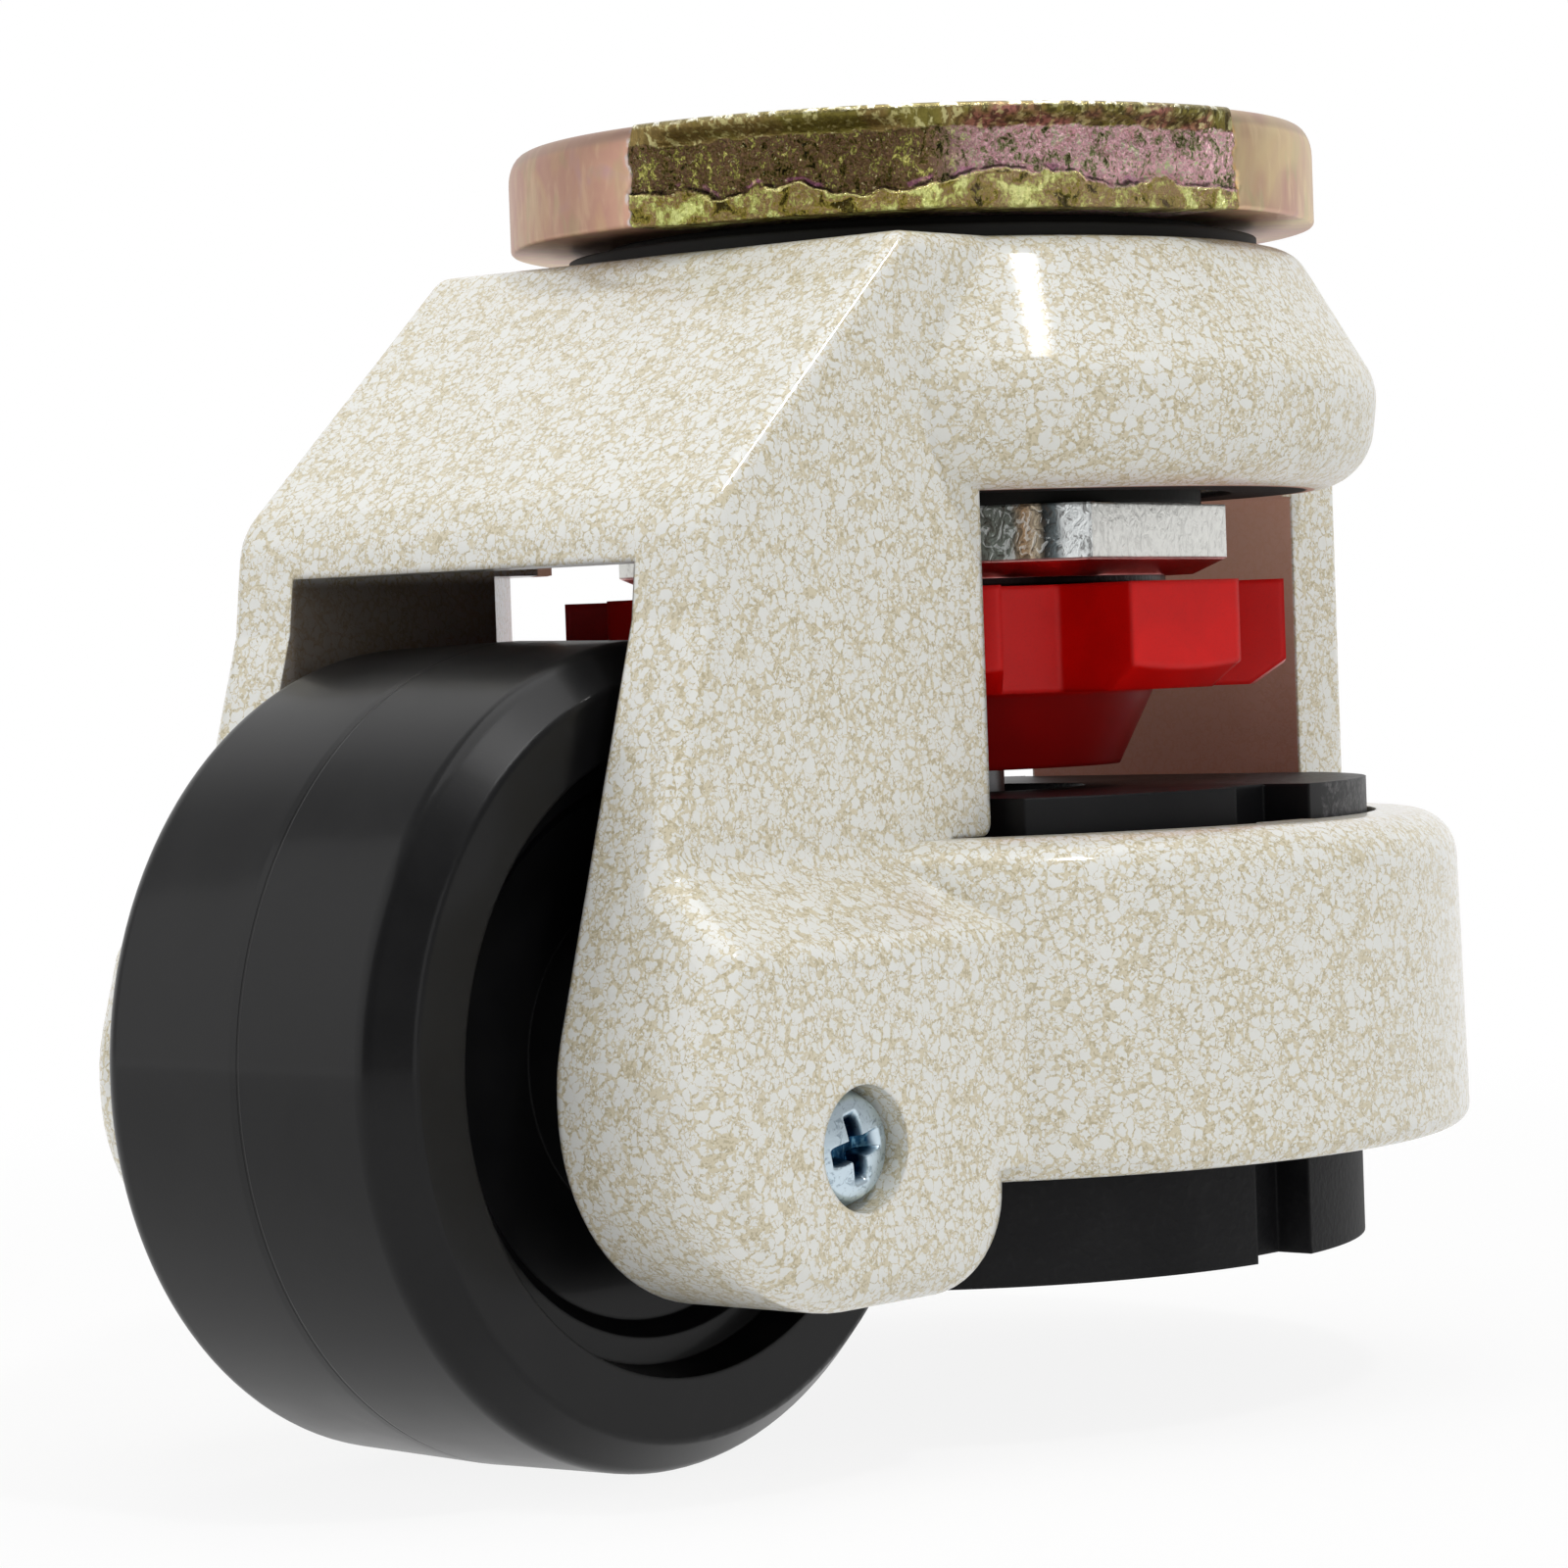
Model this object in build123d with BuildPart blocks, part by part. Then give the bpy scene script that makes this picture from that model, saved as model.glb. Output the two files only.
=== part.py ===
"""Levelling castor: a die-cast swivel frame with a small wheel in front and a levelling pad behind.

The part hangs from the threaded hole in the middle of its mounting flange. Millimetres. The origin is
the centre of that hole at the flange's top face, +Z points out of the hole, the castor hangs below,
the wheel is at -X and the levelling pad turns about the swivel axis Z.
"""
import os
from math import cos, radians, sin

from build123d import *

os.makedirs("parts", exist_ok=True)

# ---------------------------------------------------------------- mounting flange and kingpin
FLANGE_R = 26.5  # turned outside of the flange
FLANGE_T = 6.4  # flange thickness
FLANGE_CHAMFER = 0.9
PAST = 1.0  # how far a cut runs past the face that it opens
SHEARED_FACES = (-161.5, -113.5, 18.5, 66.5)  # degrees of the sheared flats' normals
SHEARED_DEPTH = 2.15  # how far each flat cuts in from the turned outside
KINGPIN_R = 11.0
SPIGOT_R = 10.0  # kingpin's riveted end in the flange
KINGPIN_END = -28.2
THREAD_R = 5.1  # wall of the M12 x 1.75 mounting thread, as tapped
THREAD_L = 15.0
STUD_ROOM_R = 5.9
STUD_ROOM_END = -20.0
NUT_AF = 34.9
NUT_TOP = -24.4
NUT_T = 3.5
NUT_TURN = -49.0  # degrees of one corner of the hexagon

# ---------------------------------------------------------------- swivel bearings
BALL_R = 2.0
BALL_FIT = 0.05
BALL_COUNT = 20
BALL_PITCH_R = 16.2
RACE_IN, RACE_OUT = 12.5, 20.0
LOWER_RACE_OUT = 18.5
CUP_OUT = 20.5
GROOVE_DEPTH = 0.85
UPPER_BALLS_Z = -9.4
LOWER_BALLS_Z = -21.4
RACE_FACE = BALL_R + BALL_FIT - GROOVE_DEPTH  # ball centre to race face
CUP_T = 2.2
CAGE_IN, CAGE_OUT, CAGE_T = 13.2, 19.2, 1.0
CAGE_FIT = 0.12
CAGE_POCKET_R = BALL_R + CAGE_FIT

# ---------------------------------------------------------------- frame casting
BODY_TOP = -8.0
TURRET_TOP_R = 25.1
TURRET_R = 30.3
TURRET_CREASE = -17.0
TURRET_BASE = -23.7
TURRET_BASE_R = 29.5
TURRET_ROUNDS = (0, 2.6, 4.0, 4.2, 0)  # of the outline's corners: top edge, crease, lower edge
LEG_Y = 0.65  # the wheel and the side plates stand this far off the swivel axis
BODY_HALF_W = 20.1
SLOPE_TOP_X = -24.1
SLOPE_END_X, SLOPE_END_Z = -42.5, -24.6  # lower edge of the sloped front
FRONT_WALL = 5.0  # thickness of the front wall over the wheel
LINTEL_X, LINTEL_Z = -42.9, -27.6
PLATE_BEND_X, PLATE_BEND_Z = -43.3, -31.0
POCKET_HALF_W = 14.4  # wheel pocket between the side plates
POCKET_REAR_X = -9.0
PLATE_REAR_X, PLATE_REAR_IN_X = -17.9, -25.2  # a side plate's rear edge, outside and inside
PLATE_FOOT = 1.8  # height of the square foot below a side plate's slanting rear end
BOSS_HALF_W = 26.5
LEDGE_TOP, LEDGE_FALL = -45.6, 0.72  # the ledge falls this much for each millimetre that it stands out
LEDGE_BOTTOM = LEDGE_TOP - LEDGE_FALL * (BOSS_HALF_W - BODY_HALF_W)
LOBE_FRONT_X, LOBE_MIDDLE, LOBE_BOTTOM, LOBE_REAR_X = -51.0, -56.5, -71.3, -24.4
PLATE_ROUNDS = (0, 0, 11.0, 12.5, 6.0, 0, 0, 0)  # boss shoulder, front and rear of the boss
RING_TOP, RING_BOTTOM = -44.8, -65.3
RING_R_TOP, RING_R_BOTTOM = 34.4, 34.8
RING_ROUNDS = (0, 3.1, 1.2, 0)
BORE_R = 29.3
CHAMBER_R = 24.9
KINGPIN_ROOM_R = 11.8
RIB_W, RIB_IN_R = 4.8, 25.6
PILLAR_IN, PILLAR_OUT, PILLAR_HALF_W = 25.7, 31.6, 11.7
PILLAR_TOP, PILLAR_LEAN = -13.2, 3.6
PILLAR_ROUND = 1.4
SAME_PLACE = 0.02  # two places closer than this are one
EDGE_ROUND, BOSS_ROUND, LEDGE_ROUND, CORNER_ROUND = 1.2, 2.4, 3.0, 0.9
FOLD_ROUND, TOP_ROUND = 4.5, 2.0  # lower and upper fold of the sloped front

# ---------------------------------------------------------------- wheel and axle
WHEEL_X, WHEEL_Z = -37.9, -56.9
WHEEL_R = 25.0
WHEEL_HALF_W = 12.9
WHEEL_FACE_OUT, WHEEL_FACE_IN = 22.7, 18.9
WHEEL_RECESS = 9.2  # half width at the floor of the side recess
WHEEL_CROWN, WHEEL_SHOULDER = 0.25, 2.3  # tread rise to the parting line, shoulder width
WHEEL_SHOULDER_ROUND, WHEEL_FACE_ROUND = 1.6, 0.5
RECESS_LIP, RECESS_STEP, RECESS_STEP_R = 0.6, 1.0, 2.2  # the step round the recess floor
HUB_R = 10.0
HUB_HALF_W = 13.5
AXLE_R = 5.0
AXLE_FIT = 0.05
AXLE_COVER = 4.3  # boss wall over the end of the blind axle bore
AXLE_HALF_L = BOSS_HALF_W - AXLE_COVER
BUSH_R = 6.6
BUSH_L = 9.0
WASHER_OUT, WASHER_T = 9.0, 0.6
KEEPER_X, KEEPER_Z = WHEEL_X - 0.3, WHEEL_Z - 4.9  # keeper screw, below the axle's centre
KEEPER_R = 2.0
KEEPER_HEAD_R, KEEPER_HEAD_T = 3.4, 1.9
KEEPER_SINK_R, KEEPER_SINK = 3.7, 3.2
KEEPER_WALL = 1.2  # what is left between the keeper screw's tip and the wheel pocket
KEEPER_TIP = POCKET_HALF_W + KEEPER_WALL
KEEPER_CROSS, KEEPER_CROSS_ARM, KEEPER_CROSS_DEPTH = 0.9, 2.1, 1.2

# ---------------------------------------------------------------- adjuster
STAR_TEETH = 8
STAR_TURN = -96.0
STAR_R, STAR_ROOT_R = 24.0, 17.5
STAR_TIP_HALF, STAR_ROOT_HALF = 12.0, 15.2  # degrees
STAR_TOP, STAR_BOTTOM = -29.5, -36.3
STAR_CHAMFER_R, STAR_CHAMFER_Z = 2.4, 1.6
STAR_CORNERS = (
    (STAR_ROOT_R, -STAR_ROOT_HALF), (STAR_R, -STAR_TIP_HALF),
    (STAR_R, STAR_TIP_HALF), (STAR_ROOT_R, STAR_ROOT_HALF),
)
CONE_TOP_R, CONE_BOTTOM_R, CONE_END = 15.0, 12.6, -41.2
SLEEVE_R = 8.0
SLEEVE_FIT = 0.05
SLEEVE_TOP = -21.0
SLEEVE_GRIP_R = 9.6
SLEEVE_EAR, SLEEVE_EAR_W = 1.2, 4.0
CLIP_Z, CLIP_T = -22.6, 1.0
CLIP_IN, CLIP_OUT = 7.3, 8.7
CLIP_GAP = 2.4
CLIP_ROOM_R, CLIP_ROOM_T = 9.2, 1.8
THRUST_OUT, THRUST_T = 12.5, 1.0

# ---------------------------------------------------------------- levelling pad
STUD_R = 4.9
STUD_FIT = 0.06
STUD_TOP = -20.6
PAD_TOP, PAD_SEAM, PAD_BOTTOM = -42.6, -63.5, -72.4
PAD_R_FRONT, PAD_R_REAR, PAD_R_RUBBER = 27.2, 28.7, 27.7
PAD_FRONT_X, PAD_FRONT_HALF_W = -11.8, 14.6
PAD_GROOVE_W, PAD_GROOVE_R = 5.7, 25.0
PAD_REAR_GAP, PAD_SIDE_GAP = 0.5, 0.8  # between the pad's rear flat and the pillar
PAD_REAR_X, PAD_REAR_HALF_W = PILLAR_IN - PAD_REAR_GAP, PILLAR_HALF_W + PAD_SIDE_GAP
PAD_STEP_Z = -45.6  # the pad's front ears and rear flat are cut down to here
PAD_EAR_GAP = 0.1
PAD_EAR_X = PLATE_REAR_X + CORNER_ROUND + PAD_EAR_GAP  # the pad's front ears stop behind the side plates
JAM_AF, JAM_T, JAM_TOP = 16.0, 4.0, -43.4
JAM_ROOM_R = 10.2
HEAD_AF, HEAD_T = 16.0, 5.0
STUD_CHAMFER = 0.8
SEAL_IN, SEAL_OUT, SEAL_T = 21.2, 22.7, 0.9


SEAM_TURN = radians(50)  # where a turned surface's seam lies, clear of the side plates and the pillar
SEAM_PLANE = Plane(
    origin=(0, 0, 0), x_dir=(cos(SEAM_TURN), sin(SEAM_TURN), 0), z_dir=(sin(SEAM_TURN), -cos(SEAM_TURN), 0)
)


def ring(inner, outer, top, bottom):
    """Adds a plain ring about Z to the open part."""
    with BuildSketch(Plane.XY.offset(bottom)) as disc:
        Circle(outer)
        if inner:
            Circle(inner, mode=Mode.SUBTRACT)
    extrude(disc.sketch, amount=top - bottom)


def nearest_corner(sketch, x, y):
    """The corner of an open sketch nearest to a spot."""
    return sketch.vertices().sort_by_distance(Vector(x, y, 0))[0]


def round_corners(sketch, points, rounds):
    """Rounds the open sketch's corners at the points; a radius of zero leaves a corner sharp."""
    for point, radius in zip(points, rounds):
        if radius:
            fillet(nearest_corner(sketch, *point), radius)


def turn(points, mode=Mode.ADD, rounds=()):
    """Revolves a closed (radius, height) outline about Z. rounds are the corners' radii."""
    with BuildSketch(SEAM_PLANE) as outline:
        with BuildLine():
            Polyline(*points, close=True)
        make_face()
        round_corners(outline, points, rounds)
    revolve(outline.sketch, axis=Axis.Z, mode=mode)


def side_outline(points, half_from, half_to, mode=Mode.ADD, rounds=()):
    """Extrudes a closed (X, Z) outline on both sides of the wheel, between two half widths."""
    for side in (1, -1):
        plane = Plane(origin=(0, LEG_Y + side * half_from, 0), x_dir=(1, 0, 0), z_dir=(0, -1, 0))
        with BuildSketch(plane) as outline:
            with BuildLine():
                Polyline(*points, close=True)
            make_face()
            round_corners(outline, points, rounds)
        extrude(outline.sketch, amount=half_to - half_from, dir=(0, side, 0), mode=mode)


def box(low, high, mode=Mode.ADD):
    """Adds or cuts the box between two corners."""
    size = [b - a for a, b in zip(low, high)]
    middle = [(a + b) / 2 for a, b in zip(low, high)]
    with Locations(tuple(middle)):
        Box(*size, mode=mode)


def bar_y(x, z, radius, y_from, y_to, mode=Mode.ADD):
    """Adds or cuts a round bar along Y. Its ends are measured from the wheel's middle plane."""
    low, high = sorted((y_from, y_to))
    plane = Plane(origin=(x, LEG_Y + high, z), x_dir=(1, 0, 0), z_dir=(0, -1, 0))
    with BuildSketch(plane) as end:
        Circle(radius)
    extrude(end.sketch, amount=high - low, dir=(0, -1, 0), mode=mode)


def prism(shape, bottom, top, mode=Mode.ADD):
    """Extrudes what shape() draws between two heights."""
    with BuildSketch(Plane.XY.offset(bottom)) as outline:
        shape()
    extrude(outline.sketch, amount=top - bottom, mode=mode)


def across(points, half_w, mode=Mode.ADD):
    """Extrudes a closed (X, Z) outline to half_w on both sides of the wheel's middle plane."""
    with BuildSketch(Plane(origin=(0, LEG_Y, 0), x_dir=(1, 0, 0), z_dir=(0, -1, 0))) as outline:
        with BuildLine():
            Polyline(*points, close=True)
        make_face()
    extrude(outline.sketch, amount=half_w, both=True, mode=mode)


def hexagon(across_flats, hole_r=0, turned=0):
    """Draws a nut's hexagon with its hole."""
    RegularPolygon(across_flats / 2, 6, major_radius=False, rotation=turned)
    if hole_r:
        Circle(hole_r, mode=Mode.SUBTRACT)


def ball_groove(centre_z):
    """Cuts the balls' groove into the open ring."""
    with BuildSketch(Plane.XZ) as groove:
        with Locations((BALL_PITCH_R, centre_z)):
            Circle(BALL_R + BALL_FIT)
    revolve(groove.sketch, axis=Axis.Z, mode=Mode.SUBTRACT)


# ---------------------------------------------------------------- mount: flange, kingpin, races, nut
with BuildPart() as mount_flange:
    ring(SPIGOT_R, FLANGE_R, 0, -FLANGE_T)
    chamfer(mount_flange.edges().group_by(Axis.Z)[-1].sort_by(SortBy.RADIUS)[-1], FLANGE_CHAMFER)
    for angle in SHEARED_FACES:
        with BuildSketch(Plane.XY.offset(-FLANGE_T - PAST)):
            with PolarLocations(0, 1, start_angle=angle):
                with Locations((FLANGE_R, 0)):
                    Rectangle(2 * SHEARED_DEPTH, 2 * FLANGE_R)
        extrude(amount=FLANGE_T + 2 * PAST, mode=Mode.SUBTRACT)
mount_flange.part.label = "mount_flange"

KINGPIN_BORES = (  # radius, top and bottom of each step of the bore
    (THREAD_R, 0, -THREAD_L),
    (STUD_ROOM_R, -THREAD_L, STUD_ROOM_END),
    (SLEEVE_R + SLEEVE_FIT, STUD_ROOM_END, KINGPIN_END),
    (CLIP_ROOM_R, CLIP_Z + CLIP_ROOM_T / 2, CLIP_Z - CLIP_ROOM_T / 2),
)
with BuildPart() as kingpin:
    ring(0, SPIGOT_R, 0, -FLANGE_T)
    ring(0, KINGPIN_R, -FLANGE_T, KINGPIN_END)
    for radius, top, bottom in KINGPIN_BORES:
        prism(lambda: Circle(radius), bottom, top, mode=Mode.SUBTRACT)
kingpin.part.label = "kingpin"

with BuildPart() as upper_race:
    ring(RACE_IN, RACE_OUT, -FLANGE_T, UPPER_BALLS_Z + RACE_FACE)
    ball_groove(UPPER_BALLS_Z)
upper_race.part.label = "upper_race"

with BuildPart() as lower_race:
    ring(KINGPIN_R, LOWER_RACE_OUT, LOWER_BALLS_Z - RACE_FACE, NUT_TOP)
    ball_groove(LOWER_BALLS_Z)
lower_race.part.label = "lower_race"

with BuildPart() as kingpin_nut:
    prism(lambda: hexagon(NUT_AF, KINGPIN_R, NUT_TURN), NUT_TOP - NUT_T, NUT_TOP)
kingpin_nut.part.label = "kingpin_nut"

# ---------------------------------------------------------------- ball sets
def balls(centre_z):
    """Adds one ring of balls."""
    with Locations((0, 0, centre_z)):
        with PolarLocations(BALL_PITCH_R, BALL_COUNT):
            Sphere(BALL_R)


def cage(centre_z):
    """Adds the flat cage that spaces one ring of balls."""
    ring(CAGE_IN, CAGE_OUT, centre_z + CAGE_T / 2, centre_z - CAGE_T / 2)
    with Locations((0, 0, centre_z)):
        with PolarLocations(BALL_PITCH_R, BALL_COUNT):
            Cylinder(CAGE_POCKET_R, 2 * CAGE_T, mode=Mode.SUBTRACT)


with BuildPart() as upper_balls:
    balls(UPPER_BALLS_Z)
upper_balls.part.label = "upper_balls"
with BuildPart() as upper_cage:
    cage(UPPER_BALLS_Z)
upper_cage.part.label = "upper_cage"
with BuildPart() as lower_balls:
    balls(LOWER_BALLS_Z)
lower_balls.part.label = "lower_balls"
with BuildPart() as lower_cage:
    cage(LOWER_BALLS_Z)
lower_cage.part.label = "lower_cage"

# ---------------------------------------------------------------- frame casting
UPPER_CUP_TOP = UPPER_BALLS_Z - RACE_FACE
LOWER_CUP_BOTTOM = LOWER_BALLS_Z + RACE_FACE
PLATE_OUTLINE = (  # X, Z of a side plate, from the lintel round the boss to the guide ring
    (LINTEL_X, LINTEL_Z), (PLATE_BEND_X, PLATE_BEND_Z), (LOBE_FRONT_X, LOBE_MIDDLE),
    (LOBE_FRONT_X, LOBE_BOTTOM), (LOBE_REAR_X, LOBE_BOTTOM), (LOBE_REAR_X, RING_BOTTOM + PAST),
    (PLATE_REAR_X, RING_BOTTOM + PAST), (PLATE_REAR_X, LINTEL_Z),
)
LEDGE_CUT = (  # Y, Z of what is cut off outside a side plate, above its ledge
    (BODY_HALF_W, LEDGE_TOP), (BOSS_HALF_W, LEDGE_BOTTOM), (BOSS_HALF_W + PAST, LEDGE_BOTTOM),
    (BOSS_HALF_W + PAST, LINTEL_Z + PAST), (BODY_HALF_W, LINTEL_Z + PAST),
)
FRONT_OUTLINE = (  # X, Z of the sloped front
    (SLOPE_TOP_X, BODY_TOP), (SLOPE_END_X, SLOPE_END_Z), (LINTEL_X, LINTEL_Z), (PLATE_REAR_X, LINTEL_Z),
    (PLATE_REAR_X, TURRET_BASE), (0, TURRET_BASE), (0, BODY_TOP),
)
PLATE_REAR_CUT = (  # X, Y of what is cut off the side plates' rear edges, so that they end slanting
    (PLATE_REAR_IN_X, -POCKET_HALF_W), (PLATE_REAR_X, -BODY_HALF_W), (PLATE_REAR_X + PAST, -BODY_HALF_W),
    (PLATE_REAR_X + PAST, BODY_HALF_W), (PLATE_REAR_X, BODY_HALF_W), (PLATE_REAR_IN_X, POCKET_HALF_W),
)
POCKET_STEPS = (  # front, bottom and top of the wheel pocket, below the front wall and behind it
    (LOBE_FRONT_X - PAST, LOBE_BOTTOM - PAST, LINTEL_Z), (LINTEL_X + FRONT_WALL, LINTEL_Z, TURRET_BASE),
)
PILLAR_LEAN_CUT = (
    (PILLAR_OUT, TURRET_BASE), (PILLAR_OUT - PILLAR_LEAN, PILLAR_TOP), (PILLAR_OUT + PAST, PILLAR_TOP + PAST),
)
TURRET_OUTLINE = (  # radius, Z
    (0, BODY_TOP), (TURRET_TOP_R, BODY_TOP), (TURRET_R, TURRET_CREASE), (TURRET_BASE_R, TURRET_BASE),
    (0, TURRET_BASE),
)
RING_OUTLINE = (
    (BORE_R - PAST, RING_TOP), (RING_R_TOP, RING_TOP), (RING_R_BOTTOM, RING_BOTTOM),
    (BORE_R - PAST, RING_BOTTOM),
)
BEARING_SEATS = (  # radius, bottom and top of each step of the turret's bore
    (KINGPIN_ROOM_R, TURRET_BASE - PAST, BODY_TOP + PAST),
    (CUP_OUT, UPPER_CUP_TOP - CUP_T, BODY_TOP + PAST),
    (CUP_OUT, TURRET_BASE - PAST, LOWER_CUP_BOTTOM + CUP_T),
)


def lies_in(edge, x=None, y=None, z=None):
    """Whether an edge lies whole in the named planes; y is taken on both sides of the wheel."""
    for spot in (edge @ 0, edge @ 0.5, edge @ 1):
        gaps = [
            abs(there - plane)
            for there, plane in ((spot.X, x), (abs(spot.Y - LEG_Y), y), (spot.Z, z))
            if plane is not None
        ]
        if max(gaps) > SAME_PLACE:
            return False
    return True


def edges_in(part, x=None, y=None, z=None):
    """The open part's edges that lie whole in the named planes."""
    return part.edges().filter_by(lambda edge: lies_in(edge, x, y, z))


def on_boss_rim(edge):
    """Whether an edge bounds a boss's flat face or the front end of its sloped ledge."""
    middle = edge @ 0.5
    on_face = lies_in(edge, y=BOSS_HALF_W) and middle.X < LOBE_REAR_X + SAME_PLACE
    on_ledge = LEDGE_BOTTOM < middle.Z < LEDGE_TOP and abs(middle.Y - LEG_Y) > BODY_HALF_W + SAME_PLACE
    return on_face or (on_ledge and middle.X < LINTEL_X)


def on_front_rim(edge):
    """Whether an edge runs down the side of the sloped front or down a side plate's front."""
    middle = edge @ 0.5
    level = lies_in(edge, z=LEDGE_TOP) or lies_in(edge, z=LINTEL_Z)
    in_reach = middle.X < SLOPE_TOP_X - SAME_PLACE and middle.Z > LEDGE_TOP - SAME_PLACE
    return lies_in(edge, y=BODY_HALF_W) and in_reach and not level


with BuildPart() as frame_casting:
    # rear pillar, leaning in at its top to meet the turret
    with BuildSketch(Plane.XY.offset(RING_TOP - PAST)) as pillar:
        with Locations(((PILLAR_IN - PAST + PILLAR_OUT) / 2, 0)):
            Rectangle(PILLAR_OUT - PILLAR_IN + PAST, 2 * PILLAR_HALF_W)
        fillet(pillar.vertices().group_by(Axis.X)[-1], PILLAR_ROUND)
    extrude(amount=PILLAR_TOP - RING_TOP + PAST)
    across(PILLAR_LEAN_CUT, PILLAR_HALF_W + PAST, mode=Mode.SUBTRACT)
    # side plates: the full outline at boss width, stepped back above a sloped ledge
    side_outline(PLATE_OUTLINE, POCKET_HALF_W, BOSS_HALF_W, rounds=PLATE_ROUNDS)
    with BuildSketch(Plane(origin=(LOBE_FRONT_X - PAST, LEG_Y, 0), x_dir=(0, 1, 0), z_dir=(1, 0, 0))):
        with BuildLine():
            Polyline(*LEDGE_CUT, close=True)
        make_face()
        mirror(about=Plane.YZ)
    extrude(amount=PLATE_REAR_X - LOBE_FRONT_X + 2 * PAST, mode=Mode.SUBTRACT)
    # sloped front between the plates
    across(FRONT_OUTLINE, BODY_HALF_W)
    # soft edges
    fillet(frame_casting.edges().filter_by(on_boss_rim), BOSS_ROUND)
    fillet(edges_in(frame_casting, x=SLOPE_END_X, z=SLOPE_END_Z), FOLD_ROUND)
    fillet(edges_in(frame_casting, x=SLOPE_TOP_X, z=BODY_TOP), TOP_ROUND)
    fillet(frame_casting.edges().filter_by(on_front_rim), EDGE_ROUND)
    fillet(edges_in(frame_casting, y=BODY_HALF_W, z=LEDGE_TOP), LEDGE_ROUND)
    # turret and guide ring
    turn(TURRET_OUTLINE, rounds=TURRET_ROUNDS)
    turn(RING_OUTLINE, rounds=RING_ROUNDS)
    # chamber for the adjuster, bore and ribs for the pad, pocket for the wheel
    prism(lambda: Circle(CHAMBER_R), RING_TOP, TURRET_BASE, mode=Mode.SUBTRACT)
    with BuildSketch(Plane.XY.offset(RING_TOP + PLATE_FOOT)):
        with Locations((0, LEG_Y)):
            Polygon(*PLATE_REAR_CUT, align=None)
    extrude(amount=LINTEL_Z - RING_TOP - PLATE_FOOT, mode=Mode.SUBTRACT)
    box(
        (0, -PILLAR_HALF_W - PAST, RING_TOP), (PILLAR_IN, PILLAR_HALF_W + PAST, TURRET_BASE),
        mode=Mode.SUBTRACT,
    )
    with BuildSketch(Plane.XY.offset(LOBE_BOTTOM - PAST)):
        Circle(BORE_R)
        with Locations((0, (RIB_IN_R + BORE_R) / 2 + PAST), (0, -(RIB_IN_R + BORE_R) / 2 - PAST)):
            Rectangle(RIB_W, BORE_R - RIB_IN_R + 2 * PAST, mode=Mode.SUBTRACT)
    extrude(amount=RING_TOP - LOBE_BOTTOM + PAST, mode=Mode.SUBTRACT)
    for front_x, bottom, top in POCKET_STEPS:
        box(
            (front_x, LEG_Y - POCKET_HALF_W, bottom), (POCKET_REAR_X, LEG_Y + POCKET_HALF_W, top),
            mode=Mode.SUBTRACT,
        )
    for radius, bottom, top in BEARING_SEATS:
        prism(lambda: Circle(radius), bottom, top, mode=Mode.SUBTRACT)
    # axle bore: blind in one plate, through the other, keeper screws in both
    bar_y(WHEEL_X, WHEEL_Z, AXLE_R, -AXLE_HALF_L, BOSS_HALF_W + PAST, mode=Mode.SUBTRACT)
    for side in (1, -1):
        sink = side * (BOSS_HALF_W - KEEPER_SINK)
        bar_y(KEEPER_X, KEEPER_Z, KEEPER_SINK_R, sink, side * (BOSS_HALF_W + PAST), mode=Mode.SUBTRACT)
        bar_y(KEEPER_X, KEEPER_Z, KEEPER_R, side * KEEPER_TIP, sink, mode=Mode.SUBTRACT)
    # the windows' lower front corners
    fillet(edges_in(frame_casting, x=PLATE_REAR_X, z=RING_TOP), CORNER_ROUND)
frame_casting.part.label = "frame_casting"

with BuildPart() as upper_cup:
    ring(RACE_IN, CUP_OUT, UPPER_CUP_TOP, UPPER_CUP_TOP - CUP_T)
    ball_groove(UPPER_BALLS_Z)
upper_cup.part.label = "upper_cup"
with BuildPart() as lower_cup:
    ring(RACE_IN, CUP_OUT, LOWER_CUP_BOTTOM + CUP_T, LOWER_CUP_BOTTOM)
    ball_groove(LOWER_BALLS_Z)
lower_cup.part.label = "lower_cup"
with BuildPart() as dust_seal:
    ring(SEAL_IN, SEAL_OUT, BODY_TOP + SEAL_T, BODY_TOP)
dust_seal.part.label = "dust_seal"

# ---------------------------------------------------------------- axle, keepers, washers
with BuildPart() as axle:
    bar_y(WHEEL_X, WHEEL_Z, AXLE_R, -AXLE_HALF_L, AXLE_HALF_L)
    for side in (1, -1):
        beyond_end = side * (AXLE_HALF_L + PAST)
        bar_y(KEEPER_X, KEEPER_Z, KEEPER_R, side * KEEPER_TIP, beyond_end, mode=Mode.SUBTRACT)
axle.part.label = "axle"


def keeper(side):
    """Adds one keeper screw: its shank keys the axle and its head overlaps the axle's end."""
    seat = BOSS_HALF_W - KEEPER_SINK
    face = seat + KEEPER_HEAD_T
    bar_y(KEEPER_X, KEEPER_Z, KEEPER_R, side * KEEPER_TIP, side * seat)
    bar_y(KEEPER_X, KEEPER_Z, KEEPER_HEAD_R, side * seat, side * face)
    low, high = sorted((side * face, side * (face - KEEPER_CROSS_DEPTH)))
    for half_x, half_z in ((KEEPER_CROSS_ARM, KEEPER_CROSS / 2), (KEEPER_CROSS / 2, KEEPER_CROSS_ARM)):
        box(
            (KEEPER_X - half_x, low, KEEPER_Z - half_z), (KEEPER_X + half_x, high, KEEPER_Z + half_z),
            mode=Mode.SUBTRACT,
        )


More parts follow.
